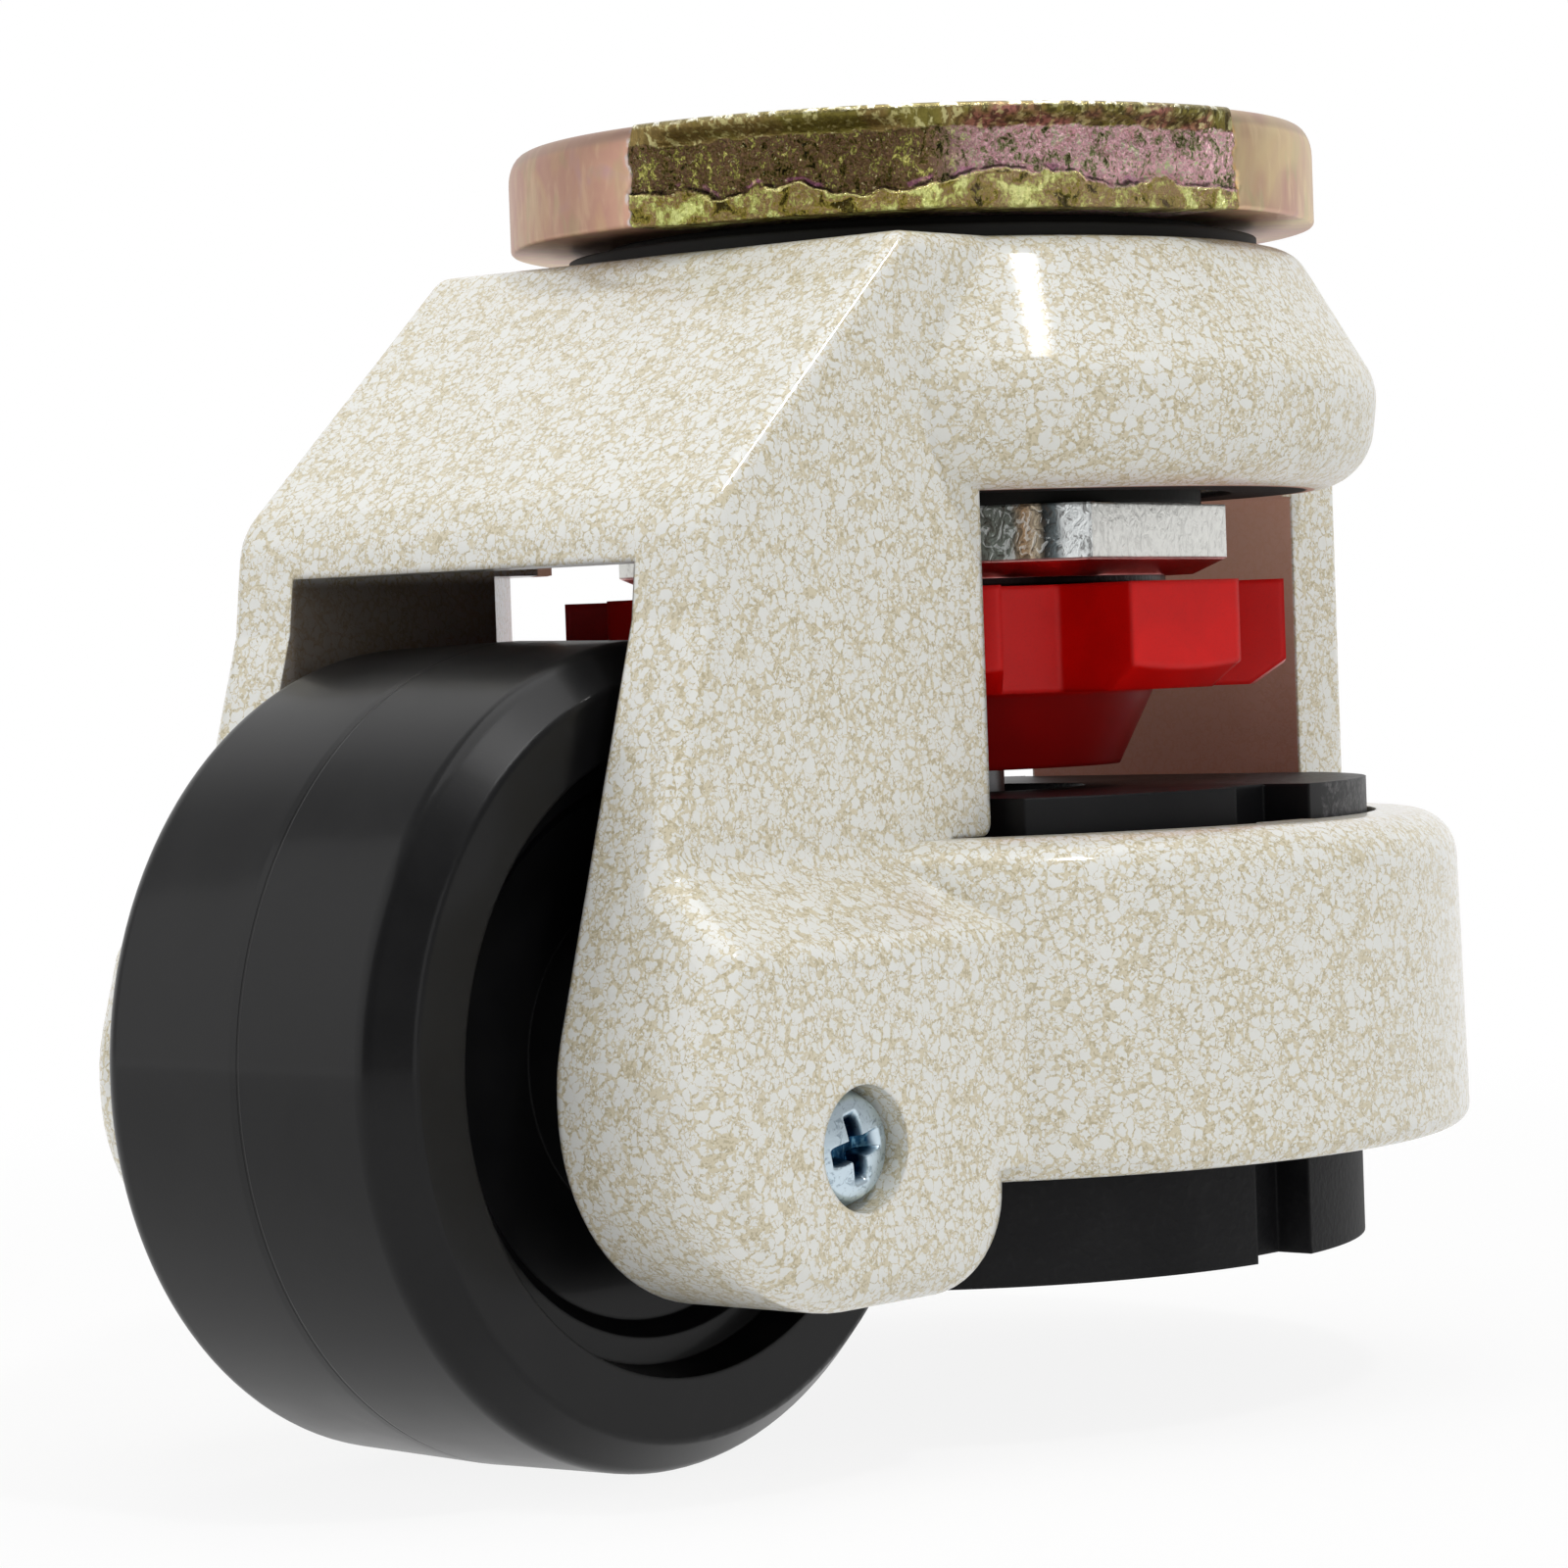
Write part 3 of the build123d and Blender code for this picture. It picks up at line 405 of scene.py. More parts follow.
@dataclass(frozen=True)
class YellowZinc:
    """Passivated zinc on a disc: salmon and gold where turned, olive, mauve and green where sheared.

    The mesh keeps three numbers for it: sheared is 1 on the sheared flats, near_right is 1 on the second flat
    of each pair, which the shader paints lighter and pinker than the first, partly as painted reflection of
    the light and partly as the zinc's own tint, and torn is the height over the torn line in millimetres.
    """

    name: str = "yellow_zinc"
    burnished_from: float = 1.45 * MM
    rim_from: float = 0.27 * MM
    gain: Colour = (1.34, 1.36, 1.42)
    brightest: Colour = (0.98, 0.96, 0.92)
    tear_relief: float = 0.20 * MM

    def turned(self, bench: Bench) -> Signal:
        """Soft upright brush marks in salmon, tan and gold."""
        wash = bench.noise(4.5 * MM, 3.0, 0.8, roughness=0.45, at=bench.moved((0.01, 0, 0), (1, 1, 0.7)))
        colour = bench.ramp(wash, (
            (0.28, from_srgb(212, 190, 156)), (0.42, from_srgb(206, 172, 142)),
            (0.52, from_srgb(198, 158, 142)), (0.62, from_srgb(204, 166, 146)),
            (0.74, from_srgb(196, 162, 164)), (0.86, from_srgb(204, 196, 190)),
        ))
        grain = bench.noise(1.1 * MM, 3.0, 0.4, at=bench.moved((0, 0, 0), (1, 1, 0.35)))
        colour = bench.blend(grain.over(0.50, 0.72) * 0.5, colour, from_srgb(232, 206, 172))
        colour = bench.blend(grain.over(0.46, 0.28) * 0.4, colour, from_srgb(186, 136, 134))
        green = bench.noise(2.2 * MM, 2.0, 0.4, at=bench.moved((0.05, 0, 0), (1, 1, 0.5))).over(0.54, 0.66)
        colour = bench.blend(green * 0.4, colour, from_srgb(176, 178, 134))
        # partly painted shade: darker brown away from the second flats, with gold on and past them; partly
        # the zinc's own tone
        colour = bench.blend((1.0 - bench.stored("near_right")) * 0.45, colour, from_srgb(158, 118, 98))
        warm = bench.noise(5.0 * MM, 1.0, at=bench.moved((0.04, 0, 0))).over(0.35, 0.6)
        gold = bench.stored("near_right") * warm
        colour = bench.blend(gold * 0.5, colour, from_srgb(226, 208, 158))
        upper = (bench.along("Z") * -1.0).over(1.1 * MM, 0.7 * MM)
        return bench.blend(upper * 0.45, colour, from_srgb(158, 136, 124))

    def crumbs(self, bench: Bench) -> tuple[Signal, Signal]:
        """The torn metal's coarse and fine crumbs."""
        bent = bench.shaken(0.9 * MM, 0.7 * MM)
        coarse = bench.noise(1.25 * MM, 4.0, 0.8, roughness=0.6, at=bent)
        fine = bench.noise(0.28 * MM, 3.0, 1.0, roughness=0.65, at=bench.moved((0.02, 0, 0), (1, 1, 0.75)))
        return coarse, fine

    def sheared(self, bench: Bench) -> Signal:
        """Olive and brown on one side, mauve and green on the other, over a calmer foot."""
        coarse, fine = self.crumbs(bench)
        mixed = coarse * 0.5 + fine * 0.5
        left = bench.ramp(mixed, (
            (0.37, from_srgb(22, 18, 10)), (0.43, from_srgb(84, 76, 34)),
            (0.475, from_srgb(118, 92, 66)), (0.52, from_srgb(92, 68, 58)),
            (0.565, from_srgb(134, 132, 62)), (0.63, from_srgb(206, 198, 120)),
        ))
        right = bench.ramp(mixed, (
            (0.37, from_srgb(60, 58, 36)), (0.43, from_srgb(132, 136, 92)),
            (0.475, from_srgb(186, 156, 150)), (0.53, from_srgb(222, 172, 182)),
            (0.58, from_srgb(184, 176, 156)), (0.64, from_srgb(186, 198, 140)),
        ))
        # the first flats darker and olive, the second lighter and pinker: partly painted shade and
        # reflection, partly the zinc's own tints
        colour = bench.blend(bench.stored("near_right"), left, right)
        foot = bench.ramp(bench.noise(1.7 * MM, 3.0, 0.9) * 0.7 + fine * 0.3, (
            (0.39, from_srgb(52, 44, 14)), (0.45, from_srgb(144, 132, 56)),
            (0.50, from_srgb(142, 114, 84)), (0.55, from_srgb(172, 172, 92)),
            (0.62, from_srgb(222, 226, 150)),
        ))
        torn = bench.stored("torn")
        colour = bench.blend(torn.over(0.05, -0.12) * 0.9, colour, foot)
        mauve = abs(torn - 0.40).over(0.20, 0.06) * bench.noise(2.6 * MM, 2.0).over(0.54, 0.62)
        colour = bench.blend(mauve * 0.5, colour, from_srgb(176, 108, 148))
        dark = abs(torn - 0.22).over(0.16, 0.04) * bench.noise(1.6 * MM, 2.0).over(0.42, 0.55)
        colour = bench.blend(dark * 0.8, colour, from_srgb(30, 22, 22))
        return colour

    def build(self) -> bpy.types.Material:
        """The material."""
        material, bench = new_material(self.name)
        flat = bench.stored("sheared").over(0.4, 0.6)
        depth = bench.along("Z") * -1.0
        fine = bench.noise(0.24 * MM, 3.0, 0.8, roughness=0.7)
        # a burnished band under the top edge, with upright striations, over the torn part; its dark olive and
        # maroon are partly painted shade under the overhanging rim, partly the zinc's own colour
        edge = bench.noise(1.3 * MM, 3.0, at=bench.moved((0, 0, 0), (1, 1, 0.2)))
        uneven = depth + (edge - 0.5) * 0.9 * MM
        band = uneven.over(self.burnished_from + 0.1 * MM, self.burnished_from - 0.1 * MM)
        stripes = bench.noise(0.34 * MM, 2.0, at=bench.moved((0, 0, 0), (1, 1, 0.04)))
        tint = bench.noise(3.2 * MM, 2.0, at=bench.moved((0.03, 0, 0), (1, 1, 0.2)))
        second = bench.stored("near_right")
        lean = tint.over(0.44, 0.58) * (second * 0.7 + 0.2)
        band_colour = bench.blend(lean, from_srgb(104, 96, 46), from_srgb(142, 92, 84))
        streaked = stripes.over(0.54, 0.42) * (second * 0.4 + 0.25)
        band_colour = bench.blend(streaked, band_colour, from_srgb(34, 24, 16))
        patches = bench.noise(0.6 * MM, 4.0, 0.2, roughness=0.65, at=bench.moved((0, 0, 0), (1, 1, 0.6)))
        band_colour = bench.blend(patches.over(0.52, 0.62) * 0.6, band_colour, from_srgb(190, 184, 130))
        colour = bench.blend(band, self.sheared(bench), band_colour)
        torn = bench.stored("torn")
        shown = bench.noise(2.3 * MM, 2.0, at=bench.moved((0.07, 0, 0), (1, 1, 0.3))).over(0.44, 0.52)
        # painted highlight: a gold line along the torn lip, where its edge catches the light
        lip = abs(torn).over(0.11, 0.02) * fine.over(0.36, 0.50) * (1.0 - band) * shown
        # painted highlight: fine yellow-white glints over the rough metal below the band
        spark = fine.over(0.62, 0.70) * (1.0 - band)
        colour = bench.blend(lip * 0.85, colour, from_srgb(250, 236, 160))
        colour = bench.blend(spark * 0.55, colour, from_srgb(240, 232, 176))
        glint = bench.noise(1.0 * MM, 2.0, 0.4, at=bench.moved((0.09, 0, 0), (1, 1, 0.2)))
        uneven = depth + (fine + glint - 1.0) * 0.5 * MM
        rim = uneven.over(self.rim_from + 0.12 * MM, self.rim_from - 0.08 * MM)
        colour = bench.blend(rim * 0.6, colour, from_srgb(150, 138, 96))
        # painted highlight: white glints along the rim
        colour = bench.blend(rim * glint.over(0.50, 0.60), colour, from_srgb(246, 240, 206))
        colour = bench.vector("MINIMUM", bench.vector("MULTIPLY", colour, self.gain), self.brightest)
        colour = bench.blend(flat, self.turned(bench), colour)
        border = abs(bench.stored("sheared") - 0.35).over(0.35, 0.1)
        grain_at_border = bench.noise(0.8 * MM, 2.0).over(0.42, 0.62)
        tinge = bench.blend(bench.stored("near_right"), from_srgb(196, 204, 206), from_srgb(232, 176, 104))
        colour = bench.blend(border * grain_at_border * 0.5, colour, tinge)
        calm = band * (stripes * 0.25 + fine * 0.35) + (1.0 - band) * (fine * 1.5)
        relief = calm * flat + (1.0 - flat) * 0.45
        normal = bench.relief(relief, self.tear_relief)
        roughness = flat * (0.34 - lip * 0.12 - rim * 0.12) + (1.0 - flat) * 0.42
        close_material(bench, {
            "Base Color": colour, "Metallic": 1.0, "Roughness": roughness, "Normal": normal,
        })
        return material


@dataclass(frozen=True)
class BrightZinc:
    """Blue-white zinc plate with drag marks from tumbling, and painted reflections and shade on some faces.
    """

    name: str
    colour: Colour = from_srgb(226, 226, 221)
    dark_tone: Colour = from_srgb(70, 64, 58)
    grain: float = 0.7 * MM
    roughness: float = 0.24
    depth: float = 0.05 * MM
    # where the painted reflection bands begin, and the normal of the facet they lie on
    reflection_from: float = 17.2 * MM
    reflection_normal: float = -139.0
    foot: float = -27.85 * MM
    # painted reflection: the red under the chamfer
    mirrored_red: Colour = (0.75, 0.35, 0.33)
    # painted shade: how far under the chamfer the collar's near black starts, and its colour
    collar_drop: float = 1.1 * MM
    collar_shade: Colour = (0.01, 0.006, 0.006)

    def build(self) -> bpy.types.Material:
        """The material."""
        material, bench = new_material(self.name)
        # painted reflection: the facet that faces the camera gets light and dark upright bands with dark
        # columns for the surroundings it mirrors; the drag marks over it are the plate's own
        turn = math.radians(self.reflection_normal)
        reach = bench.along("X") * math.cos(turn) + bench.along("Y") * math.sin(turn)
        streaked = reach.over(self.reflection_from - 0.2 * MM, self.reflection_from)
        marks = bench.noise(self.grain, 4.0, 1.4, roughness=0.62, at=bench.moved((0, 0, 0), (1, 1, 0.8)))
        columns = bench.noise(self.grain * 3.2, 3.0, 0.3, at=bench.moved((0.01, 0, 0), (1, 1, 0.12)))
        along = bench.along("Y") * math.cos(turn) - bench.along("X") * math.sin(turn)
        along = along + (bench.noise(1.4 * MM, 2.0) - 0.5) * 0.8 * MM
        banded = bench.ramp(along.over(4.0 * MM, 10.0 * MM), (
            (0.10, from_srgb(120, 130, 122)), (0.24, from_srgb(196, 158, 116)),
            (0.42, from_srgb(206, 190, 164)), (0.55, from_srgb(34, 36, 36)),
            (0.72, from_srgb(100, 108, 110)), (0.86, from_srgb(224, 228, 228)),
        ))
        banded = bench.blend(columns.over(0.50, 0.62) * 0.5, banded, self.dark_tone)
        colour = bench.blend(streaked, self.colour, banded)
        colour = bench.blend(marks.over(0.52, 0.62) * (streaked * 0.5 + 0.16), colour, self.dark_tone)
        colour = bench.blend(marks.over(0.46, 0.40) * streaked * 0.35, colour, from_srgb(232, 236, 236))
        # painted reflection: the chamfer's underside is tinted red for the adjuster wheel that it mirrors
        under = bench.along("Z").over(self.foot, self.foot - 0.02 * MM)
        colour = bench.blend(under * 0.96, colour, self.mirrored_red)
        # painted shade: the collar is near black, in the gap over the adjuster wheel
        collar = bench.along("Z").over(self.foot - self.collar_drop + 0.01 * MM,
                                       self.foot - self.collar_drop - 0.01 * MM)
        colour = bench.blend(collar, colour, self.collar_shade)
        normal = bench.relief(marks, self.depth, bench.soft_edges(0.25 * MM))
        close_material(bench, {
            "Base Color": colour, "Metallic": 1.0, "Normal": normal,
            "Roughness": self.roughness + marks * 0.14,
        })
        return material


@dataclass(frozen=True)
class BlueZinc:
    """Blue passivated zinc on the keeper screws; the mesh keeps how deep the recess is in recessed."""

    name: str = "blue_zinc"
    colour: Colour = from_srgb(206, 222, 232)
    dark_tone: Colour = from_srgb(110, 130, 146)
    # painted shade: the dark blue inside the cross recess
    deep: Colour = from_srgb(34, 74, 104)

    def build(self) -> bpy.types.Material:
        """The material."""
        material, bench = new_material(self.name)
        marks = bench.noise(0.5 * MM, 4.0, 1.2, roughness=0.6)
        streaks = bench.noise(0.22 * MM, 2.0, 0.2, at=bench.moved((0, 0, 0), (1, 0.2, 0.35)))
        colour = bench.blend(marks.over(0.52, 0.68) * 0.6, self.colour, self.dark_tone)
        # painted shade: the cross recess is dark blue, with lighter streaks
        inner = bench.blend(streaks.over(0.52, 0.66) * 0.55, self.deep, from_srgb(120, 168, 190))
        colour = bench.blend(bench.stored("recessed").over(0.12, 0.5), colour, inner)
        normal = bench.relief(marks, 0.02 * MM)
        close_material(bench, {
            "Base Color": colour, "Metallic": 1.0, "Roughness": 0.28 + marks * 0.12, "Normal": normal,
        })
        return material


@dataclass(frozen=True)
class Moulding:
    """Moulded plastic or rubber with a fine spark-eroded grain."""

    name: str
    colour: Colour
    second: Colour
    roughness: float = 0.42
    grain: float = 0.12 * MM
    grain_depth: float = 0.004 * MM
    cloud: float = 6.0 * MM
    specular: float = 0.5
    soft_radius: float = 0.3 * MM
    glow: float = 0.0
    gloss: float = 0.0
    dust: float = 0.0
    dust_from: float = 4.6 * MM
    shade: float = 0.0
    shade_below: float = -36.35 * MM

    def dress(self, bench: Bench) -> dict[str, Any]:
        """The surface sockets, for a finish that changes some of them."""
        drift = bench.noise(self.cloud, 3.0, 0.4)
        grain = bench.noise(self.grain, 2.0, 0.3)
        colour = bench.blend(drift.over(0.35, 0.7) * 0.6 + grain.over(0.5, 0.75) * 0.4, self.colour,
                             self.second)
        if self.dust:
            reach = bench.along("X") + (bench.noise(1.6 * MM, 3.0) - 0.5) * 5.0 * MM
            speck = bench.noise(0.55 * MM, 4.0, 0.8, roughness=0.7).over(0.42, 0.66)
            speck = speck * reach.over(self.dust_from - 0.6 * MM, self.dust_from + 0.6 * MM)
            speck = speck * bench.along("Y").over(-1.0 * MM, -3.0 * MM)
            colour = bench.blend(speck * self.dust, colour, (0.16, 0.155, 0.16))
        # painted shade: the colour darkens below a height, on the lower cone of the adjuster wheel
        if self.shade:
            below = bench.along("Z").over(self.shade_below + 0.1 * MM, self.shade_below - 0.3 * MM)
            colour = bench.blend(below * self.shade, colour, (0.02, 0.006, 0.006))
        normal = bench.relief(grain, self.grain_depth, bench.soft_edges(self.soft_radius))
        return {
            "Base Color": colour, "Roughness": self.roughness + (drift - 0.5) * 0.12, "Normal": normal,
            "Specular IOR Level": self.specular, "Subsurface Weight": self.glow, "Subsurface Scale": 1.2 * MM,
            "Coat Weight": self.gloss, "Coat Roughness": 0.1,
        }

    def build(self) -> bpy.types.Material:
        """The material."""
        material, bench = new_material(self.name)
        close_material(bench, self.dress(bench))
        return material


@dataclass(frozen=True)
class WheelNylon(Moulding):
    """Black nylon with the mould's parting line round the middle of the tread."""

    line_width: float = 0.13 * MM
    line_at: float = 0.0

    def build(self) -> bpy.types.Material:
        """The material."""
        material, bench = new_material(self.name)
        sockets = self.dress(bench)
        line = abs(bench.along("Y") - self.line_at).over(self.line_width, self.line_width * 0.35)
        sockets["Base Color"] = bench.blend(line, sockets["Base Color"], (0.002, 0.002, 0.002))
        sockets["Normal"] = bench.relief(line * -1.0, 0.05 * MM, sockets["Normal"])
        close_material(bench, sockets)
        return material


@dataclass(frozen=True)
class PlainMetal:
    """Ground or drawn metal with fine marks, for the inner pieces."""

    name: str
    colour: Colour
    roughness: float = 0.28

    def build(self) -> bpy.types.Material:
        """The material."""
        material, bench = new_material(self.name)
        marks = bench.noise(0.3 * MM, 3.0, 0.2, at=bench.moved((0, 0, 0), (1, 1, 4)))
        colour = bench.blend(marks.over(0.5, 0.8) * 0.4, self.colour, tuple(0.55 * c for c in self.colour))
        normal = bench.relief(marks, 0.006 * MM, bench.soft_edges(0.12 * MM))
        close_material(bench, {
            "Base Color": colour, "Metallic": 1.0, "Normal": normal,
            "Roughness": self.roughness + marks * 0.1,
        })
        return material


# ---------------------------------------------------------------- studio


@dataclass
class Softbox:
    """One rectangular lamp aimed at the castor."""

    name: str
    azimuth: float
    elevation: float
    distance: float
    size: tuple[float, float]
    power: float

    def build(self, aim: Vector) -> None:
        """Adds the lamp; azimuth is counted from +X towards +Y, in degrees."""
        lamp = bpy.data.lights.new(self.name, "AREA")
        lamp.shape = "RECTANGLE"
        lamp.size, lamp.size_y = self.size
        lamp.energy = self.power
        turn, lift = math.radians(self.azimuth), math.radians(self.elevation)
        away = Vector((math.cos(lift) * math.cos(turn), math.cos(lift) * math.sin(turn), math.sin(lift)))
        holder = bpy.data.objects.new(self.name, lamp)
        holder.location = aim + away * self.distance
        holder.rotation_euler = away.to_track_quat("Z", "Y").to_euler()
        bpy.context.scene.collection.objects.link(holder)


@dataclass
class Studio:
    """Floor, pale surroundings, soft lamps and the camera."""

    eye: tuple[float, float, float] = (-0.2559, -0.21156, -0.03353)
    yaw: float = -48.74
    pitch: float = -1.44
    roll: float = -2.04
    lens: float = 114.84
    floor_half: float = 3.0
    floor_shadow: float = 0.12
    shadow_in: float = 0.09
    shadow_out: float = 0.26
    ambient: float = 0.42
    behind_camera: float = 0.16
    backdrop: float = 1.0
    aim: Vector = field(default_factory=lambda: Vector((-0.01, 0.0, -0.04)))

    def camera(self) -> None:
        """Adds the camera: yaw from +Y, pitch above the horizon and roll, in degrees."""
        yaw, pitch, roll = (math.radians(angle) for angle in (self.yaw, self.pitch, self.roll))
        ahead = Vector((-math.sin(yaw) * math.cos(pitch), math.cos(yaw) * math.cos(pitch), math.sin(pitch)))
        level = Vector((math.cos(yaw), math.sin(yaw), 0.0))
        upright = level.cross(ahead)
        right = level * math.cos(roll) + upright * math.sin(roll)
        up = upright * math.cos(roll) - level * math.sin(roll)
        turn = Matrix((right, up, -ahead)).transposed()
        data = bpy.data.cameras.new("photo_camera")
        data.sensor_width = 36.0
        data.lens = self.lens
        data.clip_start = 0.01
        data.clip_end = 20.0
        camera = bpy.data.objects.new("photo_camera", data)
        camera.matrix_world = Matrix.Translation(Vector(self.eye)) @ turn.to_4x4()
        bpy.context.scene.collection.objects.link(camera)
        bpy.context.scene.camera = camera

    def surroundings(self) -> None:
        """White for the camera and on the far side, as a paper backdrop is, and grey elsewhere."""
        world = bpy.data.worlds.new("studio")
        world.use_nodes = True
        bpy.context.scene.world = world
        bench = Bench(world.node_tree)
        beyond = -Vector((self.eye[0], self.eye[1], 0.0)).normalized()
        way = bench.node("ShaderNodeTexCoord", {}, {}, "Generated")
        facing = bench.node("ShaderNodeVectorMath", {"operation": "DOT_PRODUCT"},
                            {0: way, 1: tuple(beyond)}, "Value")
        seen = bench.ray("Is Camera Ray")
        mirrored = bench.math("MINIMUM", bench.ray("Is Glossy Ray") + bench.ray("Is Transmission Ray"), 1.0)
        level = self.ambient + facing.over(0.36, 0.56) * mirrored * (self.backdrop - self.ambient)
        level = level + facing.over(-0.45, -0.85) * (self.behind_camera - self.ambient)
        strength = seen + (1.0 - seen) * level
        shade = bench.node("ShaderNodeBackground", {}, {"Color": (1.0, 1.0, 1.0, 1.0), "Strength": strength})
        bench.close("ShaderNodeOutputWorld", shade)

    def floor(self, level: float) -> bpy.types.Object:
        """Adds the floor at a height; it is white to the camera and keeps a faint shadow."""
        half = self.floor_half
        corners = [(-half, -half, level), (half, -half, level), (half, half, level), (-half, half, level)]
        mesh = bpy.data.meshes.new("studio_floor")
        mesh.from_pydata(corners, [], [(0, 1, 2, 3)])
        floor = bpy.data.objects.new("studio_floor", mesh)
        bpy.context.scene.collection.objects.link(floor)
        material, bench = new_material("pale_floor")
        matt = bench.node("ShaderNodeBsdfDiffuse", {}, {"Color": (0.86, 0.86, 0.86, 1.0)})
        paper = bench.node("ShaderNodeEmission", {}, {"Color": (1.0, 1.0, 1.0, 1.0), "Strength": 1.0})
        seen = bench.ray("Is Camera Ray") + bench.ray("Is Glossy Ray")
        seen = bench.math("MINIMUM", seen + bench.ray("Is Transmission Ray"), 1.0)
        away = bench.radius()
        share = seen * (1.0 - away.over(self.shadow_out, self.shadow_in) * self.floor_shadow)
        both = bench.node("ShaderNodeMixShader", {}, {0: share, 1: matt, 2: paper})
        bench.close("ShaderNodeOutputMaterial", both)
        mesh.materials.append(material)
        return floor

    def lamps(self) -> None:
        """Adds the soft lamps."""
        boxes = (
            Softbox("lamp_key", -91.0, 61.0, 0.9, (0.07, 0.07), 1.9),
            Softbox("lamp_fill", -115.0, 12.0, 0.9, (0.6, 0.6), 1.25),
            Softbox("lamp_top", -60.0, 86.0, 1.0, (0.8, 0.8), 4.1),
            Softbox("lamp_left", 150.0, 20.0, 0.9, (0.9, 0.9), 2.7),
        )
        for box in boxes:
            box.build(self.aim)

    def build(self, floor_level: float) -> None:
        """Adds everything."""
        self.camera()
        self.surroundings()
        self.floor(floor_level)
        self.lamps()


# ---------------------------------------------------------------- pieces


def lattice_noise(points: np.ndarray, size: float, seed: int, octaves: int = 3) -> np.ndarray:
    """Smooth noise: values at the corners of a cubic lattice, blended by a smooth step, over halved sizes.

    Args:
        points: Places, with their three coordinates last.
        size: The coarsest lattice's pitch.
        seed: Chooses the random values.
        octaves: How many lattices are summed, each half as coarse and half as strong as the last.

    Returns:
        Values from 0 to 1, one for each place.
    """
    total = np.zeros(points.shape[:-1])
    whole = 0.0
    for octave in range(octaves):
        scaled = points / (size / 2**octave)
        cell = np.floor(scaled).astype(np.int64)
        part = scaled - cell
        part = part * part * (3.0 - 2.0 * part)
        layer = np.zeros_like(total)
        for corner in np.ndindex(2, 2, 2):
            spot = cell + np.array(corner)
            mixed = spot[..., 0] * 73856093 ^ spot[..., 1] * 19349663 ^ spot[..., 2] * 83492791
            mixed = (mixed ^ (seed * 7919 + octave * 104729)) & 0x7FFFFFFF
            mixed = ((mixed ^ (mixed >> 13)) * 1274126177) & 0x7FFFFFFF
            value = ((mixed ^ (mixed >> 15)) & 0xFFFF) / 65535.0
            layer += value * np.prod(np.where(np.array(corner) == 1, part, 1.0 - part), axis=-1)
        total += layer * 0.5**octave
        whole += 0.5**octave
    return total / whole


def smooth(values: np.ndarray, low: float, high: float) -> np.ndarray:
    """Smooth step from 0 at low to 1 at high; the edges may be given falling."""
    share = np.clip((values - low) / (high - low), 0.0, 1.0)
    return share * share * (3.0 - 2.0 * share)


def grid_piece(name: str, points: np.ndarray, rows_close: bool, body: str,
               numbers: Optional[dict[str, np.ndarray]] = None) -> bpy.types.Object:
    """A mesh of quads over a grid whose columns always close on themselves.

    Args:
        name: The object's name.
        points: Rows by columns by three coordinates, in metres.
        rows_close: Whether the last row joins the first; otherwise the first and last rows end in a point.
        body: The body that it rides on.
        numbers: Values to keep at each vertex, rows by columns, by name.

    Returns:
        The object.
    """
    rows, columns = points.shape[:2]
    index = np.arange(rows * columns).reshape(rows, columns)
    lower = index if rows_close else index[:-1]
    upper = np.roll(index, -1, axis=0) if rows_close else index[1:]
    corners = (lower, np.roll(lower, -1, axis=1), np.roll(upper, -1, axis=1), upper)
    quads = np.stack(corners, axis=-1).reshape(-1, 4)
    mesh = bpy.data.meshes.new(name)
    mesh.vertices.add(rows * columns)
    mesh.vertices.foreach_set("co", points.astype(np.float32).ravel())
    mesh.loops.add(quads.size)
    mesh.loops.foreach_set("vertex_index", quads.astype(np.int32).ravel())
    mesh.polygons.add(len(quads))
    mesh.polygons.foreach_set("loop_start", np.arange(0, quads.size, 4, dtype=np.int32))
    mesh.polygons.foreach_set("use_smooth", np.ones(len(quads), dtype=bool))
    mesh.update(calc_edges=True)
    for key, values in (numbers or {}).items():
        kept = mesh.attributes.new(key, "FLOAT", "POINT").data
        kept.foreach_set("value", values.astype(np.float32).ravel())
    if not rows_close:
        weld_ends(mesh)
    mesh.set_sharp_from_angle(angle=math.radians(38.0))
    piece = bpy.data.objects.new(name, mesh)
    bpy.context.scene.collection.objects.link(piece)
    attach(piece, body)
    LOG.info("made %s with %d faces", name, len(mesh.polygons))
    return piece


def weld_ends(mesh: bpy.types.Mesh) -> None:
    """Merges the vertices that a grid's end rows gather in one point."""
    work = bmesh.new()
    work.from_mesh(mesh)
    bmesh.ops.remove_doubles(work, verts=work.verts, dist=0.2e-6)
    work.to_mesh(mesh)
    work.free()


def angle_from(turn: np.ndarray, middle: float) -> np.ndarray:
    """Signed angle from a direction, between minus and plus half a turn."""
    return (turn - middle + math.pi) % (2.0 * math.pi) - math.pi


